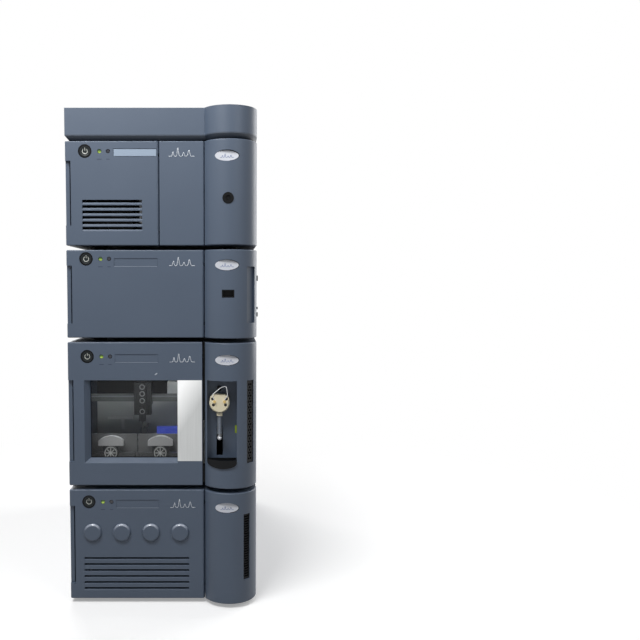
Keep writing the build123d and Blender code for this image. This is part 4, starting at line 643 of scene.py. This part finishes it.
print("kinds of input:", len(Recipe.KINDS))

# %% [markdown]
# ## The trace
# Beside each name field the moulding carries a printed mark. Here it is the plain drawing that this
# kind of instrument makes: a baseline with four peaks. Each peak is a bell curve, so the tree adds
# four of them to the height of a row of points and sweeps a flat profile along the line.

# %% Trace recipe
PEAKS = ((0.17, 0.55, 0.030), (0.36, 1.0, 0.034), (0.58, 0.42, 0.036), (0.79, 0.70, 0.044))
STEPS = 120
trace = Recipe("peak_trace", Length=0.046, Height=0.015, Line=0.0011, Thickness=0.00025,
               Place=(0.0, 0.0, 0.0))
line = trace.node("GeometryNodeMeshLine", {"mode": "END_POINTS", "count_mode": "TOTAL"},
                  {"Count": STEPS + 1, "Start Location": trace.vector(trace.given("Length") * -0.5),
                   "Offset": trace.vector(trace.given("Length") * 0.5)})
share = trace.node("GeometryNodeInputIndex") / float(STEPS)
height = share * 0.0
for centre, size, spread in PEAKS:
    offset = (share - centre) / spread
    height = height + size * trace.node("ShaderNodeMath", {"operation": "EXPONENT"}, [offset * offset * -1.0])
lift = trace.vector(0.0, 0.0, height * trace.given("Height"))
raised = trace.node("GeometryNodeSetPosition", inputs={"Geometry": line, "Offset": lift})
curve = trace.node("GeometryNodeMeshToCurve", inputs=[raised])
flat = trace.node("GeometryNodeSetCurveNormal", {"mode": "Z_UP"}, {"Curve": curve})
profile = trace.node("GeometryNodeCurvePrimitiveQuadrilateral",
                     inputs={"Width": trace.given("Thickness"), "Height": trace.given("Line")})
swept = trace.node("GeometryNodeCurveToMesh",
                   inputs={"Curve": flat, "Profile Curve": profile, "Fill Caps": True})
trace.close(trace.node("GeometryNodeTransform",
                       inputs={"Geometry": swept, "Translation": trace.given("Place")}))

# %% [markdown]
# Each module gets one trace, at the same place across. It rides on the door, and on the detector it
# sits on the fixed panel beside the lamp's door.

# %% Traces on the fronts
DOOR_OF = {"pump": "pump_door", "sampler": "sampler_door", "column": "column_door", "detector": "lamp_door"}
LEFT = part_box("column_door")[0][0]
TRACE_X = LEFT + 208 * MM
TRACE_DROP = {"pump": 33.0, "sampler": 36.0, "column": 28.0, "detector": 27.0}
for module, door in DOOR_OF.items():
    place = (TRACE_X, FACE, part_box(f"{module}_cover")[1][2] - TRACE_DROP[module] * MM)
    body = "stack" if module == "detector" else door
    piece = trace.make(f"{module}_trace", "print_pale", body, Place=place)
    print(piece.name, len(piece.data.polygons), "faces")

# %% [markdown]
# ## Marks by the lamps
# Under each pair of lamps sit two tiny printed bars. They are ribbons with two points each.

# %% Lamp marks
MARK_DROP, MARK_WIDTH = 14.2 * MM, 1.1 * MM
MARKS = ((61.5, 8.0), (77.0, 6.0))


def on_front(u, w):
    """The flat front, a hair in front of it."""
    return Vector((u, FACE - HAIR, w))


for module, door in DOOR_OF.items():
    level = centres[module][2] - MARK_DROP
    strips = []
    for middle, length in MARKS:
        start = LEFT + (middle - length / 2) * MM
        strips.append(([(start, level), (start + length * MM, level)], MARK_WIDTH))
    ribbon_piece(f"{module}_lamp_marks", "mark_dark", door, on_front, 0.2 * MM, strips)
print("marks on", ", ".join(DOOR_OF.values()))

# %% [markdown]
# ## Badges
# Each oval badge has a fine rim, a small version of the same trace, and a dark crescent around its
# right end: a painted shadow where the badge's pocket lies in shade. Rim and crescent are ribbons
# along ellipses, given by their half width and half height.

# %% Badge rims and traces
BADGE_DROP = {"pump": 27.2, "sampler": 30.5, "column": 27.4, "detector": 29.3}
BADGE_X, BADGE_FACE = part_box("oven_badge")[0][0] + 21 * MM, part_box("oven_badge")[0][1]
RIM, SHADOW_OVAL = (20.2, 8.4), (21.4, 9.6)
for module in MODULES:
    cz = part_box(f"{module}_cover")[1][2] - BADGE_DROP[module] * MM
    body = "oven_compartment" if module == "column" else "stack"

    def on_badge(u, w):
        """The badge's face, a hair in front of it."""
        return Vector((BADGE_X + u, BADGE_FACE - 0.15 * MM, cz + w))

    oval = arc(RIM[0] * MM, 0, 360, 72, RIM[1] / RIM[0])[:-1]
    ribbon_piece(f"{module}_badge_rim", "badge_silver", body, on_badge, 0.3 * MM, [(oval, 0.9 * MM)], True)
    # Painted shadow: a near-black crescent where the pocket is shaded.
    crescent = arc(SHADOW_OVAL[0] * MM, 14, 166, 48, SHADOW_OVAL[1] / SHADOW_OVAL[0])
    ribbon_piece(f"{module}_badge_shadow", "guide_black", body, on_badge, 0.3 * MM, [(crescent, 1.7 * MM)])
    trace.make(f"{module}_badge_trace", "badge_ink", body, Length=0.024, Height=0.0062, Line=0.0009,
               Thickness=0.0003, Place=(BADGE_X, BADGE_FACE, cz - 3.2 * MM))
print("badges at x", round(BADGE_X, 4))

# %% [markdown]
# ## Name fields
# The fields of the three lower modules are shallow pockets in the moulding. A thin dark line for the
# shadow runs up the left of each, along its top and down its right, and a light one along its
# bottom, where the pocket's edge catches the light.

# %% Field outlines
FIELD_DROP = {"pump": 26.2, "sampler": 29.2, "column": 22.0}
FIELD_LEFT, FIELD_RIGHT, FIELD_HALF = LEFT + 86 * MM, LEFT + 164 * MM, 7.3 * MM
LINE = 0.15 * MM
for module, drop in FIELD_DROP.items():
    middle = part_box(f"{module}_cover")[1][2] - drop * MM
    bottom, top = middle - FIELD_HALF, middle + FIELD_HALF
    outline = [(FIELD_LEFT, bottom), (FIELD_LEFT, top), (FIELD_RIGHT, top), (FIELD_RIGHT, bottom)]
    door = DOOR_OF[module]
    ribbon_piece(f"{module}_field_edge", "field_line", door, on_front, LINE, [(outline, 0.7 * MM)])
    lip = [(u, bottom - 0.1 * MM) for u in (FIELD_LEFT + 0.5 * MM, FIELD_RIGHT - 0.5 * MM)]
    ribbon_piece(f"{module}_field_lip", "edge_light", door, on_front, LINE, [(lip, 0.8 * MM)])
print("fields from x", round(FIELD_LEFT, 4), "to", round(FIELD_RIGHT, 4))

# %% [markdown]
# ## The window's gasket
# A black rubber lip seals the pane against the door. It follows the opening where the bevel ends.

# %% Gasket
low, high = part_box("sampler_window")
PANE_FACE = low[1]
LAP, LIP_WIDTH = 5.0 * MM, 1.4 * MM


def on_pane(u, w):
    """Just in front of the pane."""
    return Vector((u, PANE_FACE - 0.9 * MM, w))


inset = LAP + LIP_WIDTH / 2
u0, u1, w0, w1 = low[0] + inset, high[0] - inset, low[2] + inset, high[2] - inset
loop = [(u0, w0), (u1, w0), (u1, w1), (u0, w1)]
ribbon_piece("window_gasket", "black_rubber", "sampler_door", on_pane, 0.8 * MM, [(loop, LIP_WIDTH)], True)
print("gasket", [round(v, 4) for v in (u0, u1, w0, w1)])

# %% [markdown]
# ## Inside the sample chamber
# Through the pane one sees the carriers' round knobs, the rail with its bright guide, the injection
# unit and some brackets on the rear wall. Repeated details around a circle are a second recipe: a
# ring of bars on a circle of points, each turned by its share of a full turn.

# %% Ring of bars
ring = Recipe("ring_of_bars", Count=8, Radius=0.006, Bar=(0.004, 0.001, 0.001), Turn=(0.0, 0.0, 0.0),
              Place=(0.0, 0.0, 0.0))
circle = ring.node("GeometryNodeMeshCircle",
                   inputs={"Vertices": ring.given("Count"), "Radius": ring.given("Radius")})
points = ring.node("GeometryNodeMeshToPoints", inputs={"Mesh": circle})
angle = ring.node("GeometryNodeInputIndex") * (2 * pi) / ring.given("Count")
bar = ring.node("GeometryNodeMeshCube", inputs={"Size": ring.given("Bar")})
bars = ring.node("GeometryNodeInstanceOnPoints",
                 inputs={"Points": points, "Instance": bar, "Rotation": ring.vector(0.0, 0.0, angle)})
ring.close(ring.node("GeometryNodeTransform", inputs={
    "Geometry": bars, "Rotation": ring.given("Turn"), "Translation": ring.given("Place")}))

# %% [markdown]
# A knob's spokes and the ribs of its grip are rings of bars. Its rim and its hub are ribbons.

# %% Carrier knobs
FACING = (pi / 2, 0.0, 0.0)
for side in ("left", "right"):
    low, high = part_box(f"{side}_carrier")
    cx, front, cz = (low[0] + high[0]) / 2, low[1], low[2] + KNOB_RISE
    ring.make(f"{side}_knob_spokes", "bracket_light", "stack", Count=8, Radius=5.6 * MM,
              Bar=(7.2 * MM, 1.5 * MM, 0.9 * MM), Turn=FACING, Place=(cx, front - 0.4 * MM, cz))
    ring.make(f"{side}_knob_grip", "light_moulding", "stack", Count=24, Radius=11.6 * MM,
              Bar=(1.0 * MM, 1.2 * MM, 7.0 * MM), Turn=FACING, Place=(cx, front + 4.0 * MM, cz))

    def on_knob(u, w):
        """The knob's flat front."""
        return Vector((cx + u, front - 1.0 * MM, cz + w))

    rings = [(arc(10.9 * MM, 0, 360, 48)[:-1], 1.3 * MM), (arc(1.5 * MM, 0, 360, 16)[:-1], 2.6 * MM)]
    ribbon_piece(f"{side}_knob_rings", "bracket_light", "stack", on_knob, 1.1 * MM, rings, True)
    print(side, "knob at", round(cx, 4), round(cz, 4))

# %% [markdown]
# Brackets and covers in the chamber are small boxes with soft edges. A helper makes one from its two
# corners, with every edge bevelled, so that none has the razor edges of a plain cube. Behind each
# pull stands the front of a drawer: a plate, and a cheek on each side where there is room for one.
# The lamp under the chamber's roof has a shade in front, which keeps its light off an open door.

# %% Soft boxes
def soft_box(mesh, low, high, edge):
    """Adds a box between two corners, in millimetres, with bevelled edges."""
    made = bmesh.ops.create_cube(mesh, size=1.0)["verts"]
    for vert in made:
        for axis in range(3):
            middle, size = (low[axis] + high[axis]) / 2, high[axis] - low[axis]
            vert.co[axis] = (middle + vert.co[axis] * size) * MM
    edges = list({e for v in made for e in v.link_edges})
    bmesh.ops.bevel(mesh, geom=edges, offset=edge * MM, segments=2, profile=0.5, affect="EDGES")


def box_piece(name, finish, body, boxes, edge=0.8):
    """A piece of several soft boxes."""
    mesh = bmesh.new()
    for low, high in boxes:
        soft_box(mesh, low, high, edge)
    finish_piece(name, mesh, finish, body)


rail_low, rail_high = [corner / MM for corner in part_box("needle_rail")]
guide_low = (rail_low[0] + 1, rail_low[1] - 0.8, rail_low[2] + 9)
guide_high = (rail_high[0] - 1, rail_low[1], rail_low[2] + 12)
box_piece("rail_guide", "light_moulding", "stack", [(guide_low, guide_high)], 0.3)

# Each drawer front: its two ends across, and the ends of the gap for the carrier's knob.
DRAWERS = {"left": ((-168.5, -54.0), (-146.6, -57.3)), "right": ((-52.0, 72.0), (-52.0, 35.4))}
PLATE_FOOT, PLATE_TOP, CHEEK_FOOT, CHEEK_TOP, CHEEK_MIN = 15, 49.5, 0.3, 16, 2
SET_BACK, THICKNESS = 14.3, 2
shelf, front = chamber_floor / MM, carrier_front / MM + SET_BACK
back = front + THICKNESS
for side, ((start, end), (gap_start, gap_end)) in DRAWERS.items():
    plates = [((start, front, shelf + PLATE_FOOT), (end, back, shelf + PLATE_TOP))]
    for u0, u1 in ((start, gap_start), (gap_end, end)):
        if u1 - u0 > CHEEK_MIN:
            plates.append(((u0, front, shelf + CHEEK_FOOT), (u1, back, shelf + CHEEK_TOP)))
    box_piece(f"{side}_drawer_front", "drawer_dark", "stack", plates, 0.6)

# The other pieces: finish, soft edge, and two corners for each box, in millimetres.
wall = REAR_WALL / MM
FITTINGS = {
    "tee_bracket": ("bracket_light", 0.6, [((-147, wall - 4, 291), (-92.6, wall, 296.4)),
                                           ((-117, wall - 4, 269), (-111, wall, 292))]),
    "chamber_cover": ("bracket_light", 3.0, [((-12, -92, 338), (30, wall, 381))]),
    "wash_block": ("bracket_grey", 1.2, [((-64.3, -128, 268), (-51, -114, 290)),
                                         ((-60, -115, 277), (-55, wall, 283))]),
    "blue_guide": ("blue_guide", 1.5, [((-29, -150, 275), (73.5, -140, 295))]),
    "chamber_lamp": ("lit_diffuser", 1.0, [((-150, -282, 466), (60, -272, 480))]),
    "lamp_shade": ("carriage_dark", 0.6, [((-152, -286, 462), (62, -283.5, 481))]),
}
for name, (finish, edge, boxes) in FITTINGS.items():
    box_piece(name, finish, "stack", boxes, edge)
print("drawer fronts up to", round(shelf + PLATE_TOP, 1), "mm, and", len(FITTINGS), "fittings")

# %% [markdown]
# Four ring nuts sit on the face of the needle's arm. They are closed ribbons along circles, and they
# ride on the arm.

# %% Ring nuts
low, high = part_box("needle_arm")
arm_x, arm_face = (low[0] + high[0]) / 2, low[1] + 0.2 * MM
NUT_RADIUS, NUT_DROPS = 4.6 * MM, (8, 22, 36, 58)


def on_arm(u, w):
    """The arm's front face."""
    return Vector((arm_x + u, arm_face, w))


nuts = [([(u, high[2] - drop * MM + w) for u, w in arc(NUT_RADIUS, 0, 360, 32)[:-1]], 1.7 * MM)
        for drop in NUT_DROPS]
ribbon_piece("arm_ring_nuts", "cast_aluminium", "needle_arm", on_arm, 1.2 * MM, nuts, True)
print(len(NUT_DROPS), "ring nuts at x", round(arm_x, 4))

# %% [markdown]
# ## Small things in the syringe niche
# A knurled black screw holds the valve's plate behind the loop, a yellow-green tag is clipped to the
# right wall, and the glass barrel carries a scale. Scale lines are a third recipe, a row of bars.

# %% Row of bars
row = Recipe("row_of_bars", Count=10, Step=(0.0, 0.0, 0.001), Start=(0.0, 0.0, 0.0),
             Bar=(0.002, 0.0002, 0.0002))
line = row.node("GeometryNodeMeshLine", {"mode": "OFFSET"},
                {"Count": row.given("Count"), "Start Location": row.given("Start"),
                 "Offset": row.given("Step")})
bar = row.node("GeometryNodeMeshCube", inputs={"Size": row.given("Bar")})
row.close(row.node("GeometryNodeInstanceOnPoints", inputs={"Points": line, "Instance": bar}))

# %% Niche details
low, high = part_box("syringe_barrel")
syringe_x, syringe_y = (low[0] + high[0]) / 2, (low[1] + high[1]) / 2
row.make("barrel_scale", "badge_ink", "stack", Count=11, Step=(0.0, 0.0, 2.4 * MM),
         Start=(syringe_x, syringe_y - 4.3 * MM, low[2] + 4 * MM), Bar=(3.0 * MM, 0.3 * MM, 0.25 * MM))
niche_wall, niche_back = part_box("drip_cup")[1][0] / MM + 0.3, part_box("syringe_valve")[1][1]
tag = ((niche_wall - 3.4, -336, 319), (niche_wall - 0.02, -334.6, 333))
box_piece("niche_tag", "tag_green", "stack", [tag], 0.3)


def knurled(name, finish, body, centre, radius, length, ribs, sides=48):
    """Thumb screw along Y: a turned head with ribs round it."""
    mesh = bmesh.new()
    rings = []
    for share, r in ((0.0, radius * 0.9), (0.06, radius), (0.94, radius), (1.0, radius * 0.94)):
        y = centre[1] + share * length
        rings.append([mesh.verts.new((centre[0] + r * cos(a), y, centre[2] + r * sin(a)))
                      for a in (2 * pi * k / sides for k in range(sides))])
    for one, two in zip(rings, rings[1:]):
        for k in range(sides):
            mesh.faces.new((one[k], one[(k + 1) % sides], two[(k + 1) % sides], two[k]))
    mesh.faces.new(rings[0])
    mesh.faces.new(list(reversed(rings[-1])))
    finish_piece(name, mesh, finish, body)
    ring.make(f"{name}_ribs", finish, body, Count=ribs, Radius=radius, Turn=FACING,
              Bar=(radius * 0.10, radius * 0.10, length * 0.86),
              Place=(centre[0], centre[1] + length / 2, centre[2]))


SCREW_RADIUS, SCREW_LENGTH = 4.4 * MM, 7 * MM
screw_centre = (valve_x - 0.55 * MM, niche_back - SCREW_LENGTH, valve_z + 23.5 * MM)
knurled("plate_screw", "black_plastic", "stack", screw_centre, SCREW_RADIUS, SCREW_LENGTH, 22)
print("niche wall at x", round(niche_wall, 2), "mm, back at y", round(niche_back, 4), "m")

# %% [markdown]
# ## Screws on points
# Sheet metal needs screws. This recipe puts a turned head on each of its points: a short cone
# frustum, with a six-sided socket in black on top from a second run of the same tree.

# %% Heads on points
heads_on_points = Recipe("heads_on_points", Radius=0.003, Top=0.0026, Depth=0.0016, Sides=28,
                         Turn=(0.0, 0.0, 0.0))
given = heads_on_points.given
head = heads_on_points.node("GeometryNodeMeshCone", inputs={
    "Vertices": given("Sides"), "Radius Top": given("Top"), "Radius Bottom": given("Radius"),
    "Depth": given("Depth")})
heads_on_points.close(heads_on_points.node("GeometryNodeInstanceOnPoints", inputs={
    "Points": given("Geometry"), "Instance": head, "Rotation": given("Turn")}))

REAR_SHEET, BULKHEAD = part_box("rear_sockets")[1][1] - 2 * MM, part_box("leak_tray")[1][1]
REAR_COLUMNS, BAY_COLUMNS = (-161, -58, 52, 158), (-162, 66)
BACKWARD = (-pi / 2, 0.0, 0.0)
HEAD_DEPTH = 1.6 * MM


def screws(name, body, columns, rows, y, turn, radius):
    """Turned heads with a hexagon socket each, in columns and rows on an upright sheet."""
    points = [(x * MM, y, z) for z in rows for x in columns]
    heads_on_points.make(name, "zinc_screw", body, points, Radius=radius, Top=radius * 0.86,
                         Depth=HEAD_DEPTH, Turn=turn)
    out = Vector((0, 1, 0)) if turn == BACKWARD else Vector((0, -1, 0))
    tops = [tuple(Vector(point) + out * 1.55 * MM) for point in points]
    heads_on_points.make(f"{name}_sockets", "guide_black", body, tops, Radius=radius * 0.5,
                         Top=radius * 0.5, Depth=0.1 * MM, Sides=6, Turn=turn)


for module in MODULES:
    low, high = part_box(f"{module}_cover")
    screws(f"{module}_rear_screws", "stack", REAR_COLUMNS, (low[2] + 7 * MM, high[2] - 7 * MM), REAR_SHEET,
           BACKWARD, 3.2 * MM)
    if module != "sampler":
        screws(f"{module}_bay_screws", "stack", BAY_COLUMNS, (low[2] + 20 * MM, high[2] - 12 * MM), BULKHEAD,
               FACING, 3.0 * MM)
print("screws on the rear walls at y", round(REAR_SHEET, 4), "and on the bulkheads at y", round(BULKHEAD, 4))

# %% [markdown]
# ## Steel tubing
# Behind the doors, thin steel capillaries join the pump heads and lead out of the flow cell. The last
# recipe rounds the corners of a path and sweeps a circle along it.

# %% Tubing
tubing = Recipe("tubing", Bend=0.006, Radius=0.0008)
wire = tubing.node("GeometryNodeMeshToCurve", inputs={"Mesh": tubing.given("Geometry")})
bent = tubing.node("GeometryNodeFilletCurve", {"mode": "POLY"},
                   {"Curve": wire, "Count": 7, "Radius": tubing.given("Bend"), "Limit Radius": True})
section = tubing.node("GeometryNodeCurvePrimitiveCircle",
                      inputs={"Resolution": 12, "Radius": tubing.given("Radius")})
tubing.close(tubing.node("GeometryNodeCurveToMesh",
                         inputs={"Curve": bent, "Profile Curve": section, "Fill Caps": True}))

# From head to head, each tube has a place in depth and a rise, in millimetres.
HEAD_TUBES = ((-212, 14), (-220, 20), (-212, 14))
tops = [((low[0] + high[0]) / 2, high[2]) for low, high in heads]
for i, (depth, rise) in enumerate(HEAD_TUBES):
    x0, x1, y = tops[i][0] + 4 * MM, tops[i + 1][0] - 4 * MM, depth * MM
    foot = tops[i][1] + 0.2 * MM
    top = foot + rise * MM
    tubing.make(f"pump_tube_{i + 1}", "capillary_steel", "stack",
                [(x0, y, foot), (x0, y, top), (x1, y, top), (x1, y, foot)], path=True)

# From the cell, each tube has a place across and a drop, and both lead to the bulkhead.
CELL_TUBES, CELL_Y, OUTLET_X = ((12, 22), (24, 14)), -222 * MM, 52 * MM
low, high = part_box("flow_cell")
for i, (across, drop) in enumerate(CELL_TUBES):
    x, top = low[0] + across * MM, low[2] - 0.2 * MM
    foot = top - drop * MM
    tubing.make(f"cell_tube_{i + 1}", "capillary_steel", "stack",
                [(x, CELL_Y, top), (x, CELL_Y, foot), (OUTLET_X, CELL_Y, foot),
                 (OUTLET_X, BULKHEAD - 0.5 * MM, foot)], path=True)
print(len(HEAD_TUBES), "tubes in the pump and", len(CELL_TUBES), "in the detector")

# %% [markdown]
# ## The studio
# A pale floor runs back to a white surround. Near the stack the floor is a real diffuse surface that
# takes its shadow. Further out it turns to plain white for camera, mirror and glass rays only, so that
# the surround looks white without sending more light onto the stack.

# %% Floor and surround
def direct(graph):
    """1 for camera, mirror and glass rays, and 0 for the rest."""
    camera_ray, mirror_ray, glass_ray = [
        graph.node("ShaderNodeLightPath", output=name)
        for name in ("Is Camera Ray", "Is Glossy Ray", "Is Transmission Ray")]
    return (camera_ray + mirror_ray + glass_ray) > 0.5


FLOOR_RADIUS, AMBIENT = 9.0, 0.12
floor_mesh = bmesh.new()
bmesh.ops.create_circle(floor_mesh, cap_ends=True, segments=96, radius=FLOOR_RADIUS)
floor_data = bpy.data.meshes.new("floor")
floor_mesh.to_mesh(floor_data)
floor_mesh.free()
paper = Finish("studio_paper", srgb(238, 238, 238), 0.9)
seen = direct(paper)
x, y, _ = paper.axes()
far = paper.node("ShaderNodeMapRange", {"interpolation_type": "SMOOTHSTEP"},
                 {"Value": (x * x + y * y) ** 0.5, "From Min": 0.50, "From Max": 1.25})
paper.set("Base Color", paper.mix(seen, srgb(96, 96, 98), srgb(240, 240, 240)))
paper.set("Emission Color", paper.mix(seen, (0.0, 0.0, 0.0), (0.30, 0.30, 0.30)))
paper.set("Emission Strength", 1.0)
white = paper.node("ShaderNodeEmission", inputs={"Color": (1.0, 1.0, 1.0, 1.0), "Strength": 1.0})
blend = paper.node("ShaderNodeMixShader", inputs=[far * seen, Link(paper, paper.shader.outputs[0]), white])
paper.tree.links.new(blend.socket, paper.tree.nodes["Material Output"].inputs["Surface"])
floor_data.materials.append(paper.material)
placed("floor", floor_data)

world = bpy.data.worlds.new("surround")
bpy.context.scene.world = world
world.use_nodes = True
sky = Graph(world.node_tree)
background = world.node_tree.nodes["Background"]
sky.feed(background.inputs["Strength"], direct(sky) * (1.0 - AMBIENT) + AMBIENT)
background.inputs["Color"].default_value = (1.0, 1.0, 1.0, 1.0)
print("floor radius", FLOOR_RADIUS, "m, surround lights with", AMBIENT)

# %% [markdown]
# Four soft boxes light the stack: a key from the upper left, a weak fill from the upper right, one
# along the right side and one for the rear.

# %% Lamps
def lamp(name, place, target, size, watts):
    """Soft box that looks at a target."""
    data = bpy.data.lights.new(name, "AREA")
    data.shape, data.size, data.size_y, data.energy = "RECTANGLE", size[0], size[1], watts
    box = placed(name, data)
    box.location = place
    box.rotation_euler = (Vector(target) - Vector(place)).to_track_quat("-Z", "Y").to_euler()
    print(name, watts, "W")


lamp("key", (-0.42, -1.10, 1.68), (0.02, -0.33, 0.84), (0.8, 0.6), 21)
lamp("fill", (0.9, -1.35, 1.45), (0.13, -0.33, 0.80), (0.7, 0.6), 3.6)
lamp("rim", (1.25, 0.75, 0.95), (0.17, -0.3, 0.5), (0.9, 1.3), 11)
lamp("back", (-0.6, 1.9, 1.6), (0.0, 0.2, 0.5), (1.2, 1.0), 22)

# %% [markdown]
# ## The camera
# It stands in front of the stack, a little above its middle, and is tilted down slightly, so that the
# upright edges lean together towards the bench. The stack stands left in the picture, which the lens
# shift does without turning the camera, so the front stays square to it.

# %% Camera
# The sensor in millimetres, the picture's width and the focal length in pixels.
SENSOR, PICTURE, FOCAL = 36, 640, 756
TILT = 3.69
camera = bpy.data.cameras.new("camera")
camera.lens = FOCAL / PICTURE * SENSOR
camera.shift_x, camera.shift_y = 0.142, 0.020
camera.clip_end = 50
eye = placed("camera", camera)
eye.location = (0.120, -1.690, 0.588)
eye.rotation_euler = Euler((radians(90 - TILT), 0.0, 0.0))
bpy.context.scene.camera = eye
print("lens", round(camera.lens, 2), "mm, tilted down by", TILT, "degrees")

# %% [markdown]
# ## Plain colours
# The scene keeps plain colours.

# %% Plain colours
bpy.context.scene.view_settings.view_transform = "Standard"
bpy.context.view_layer.update()
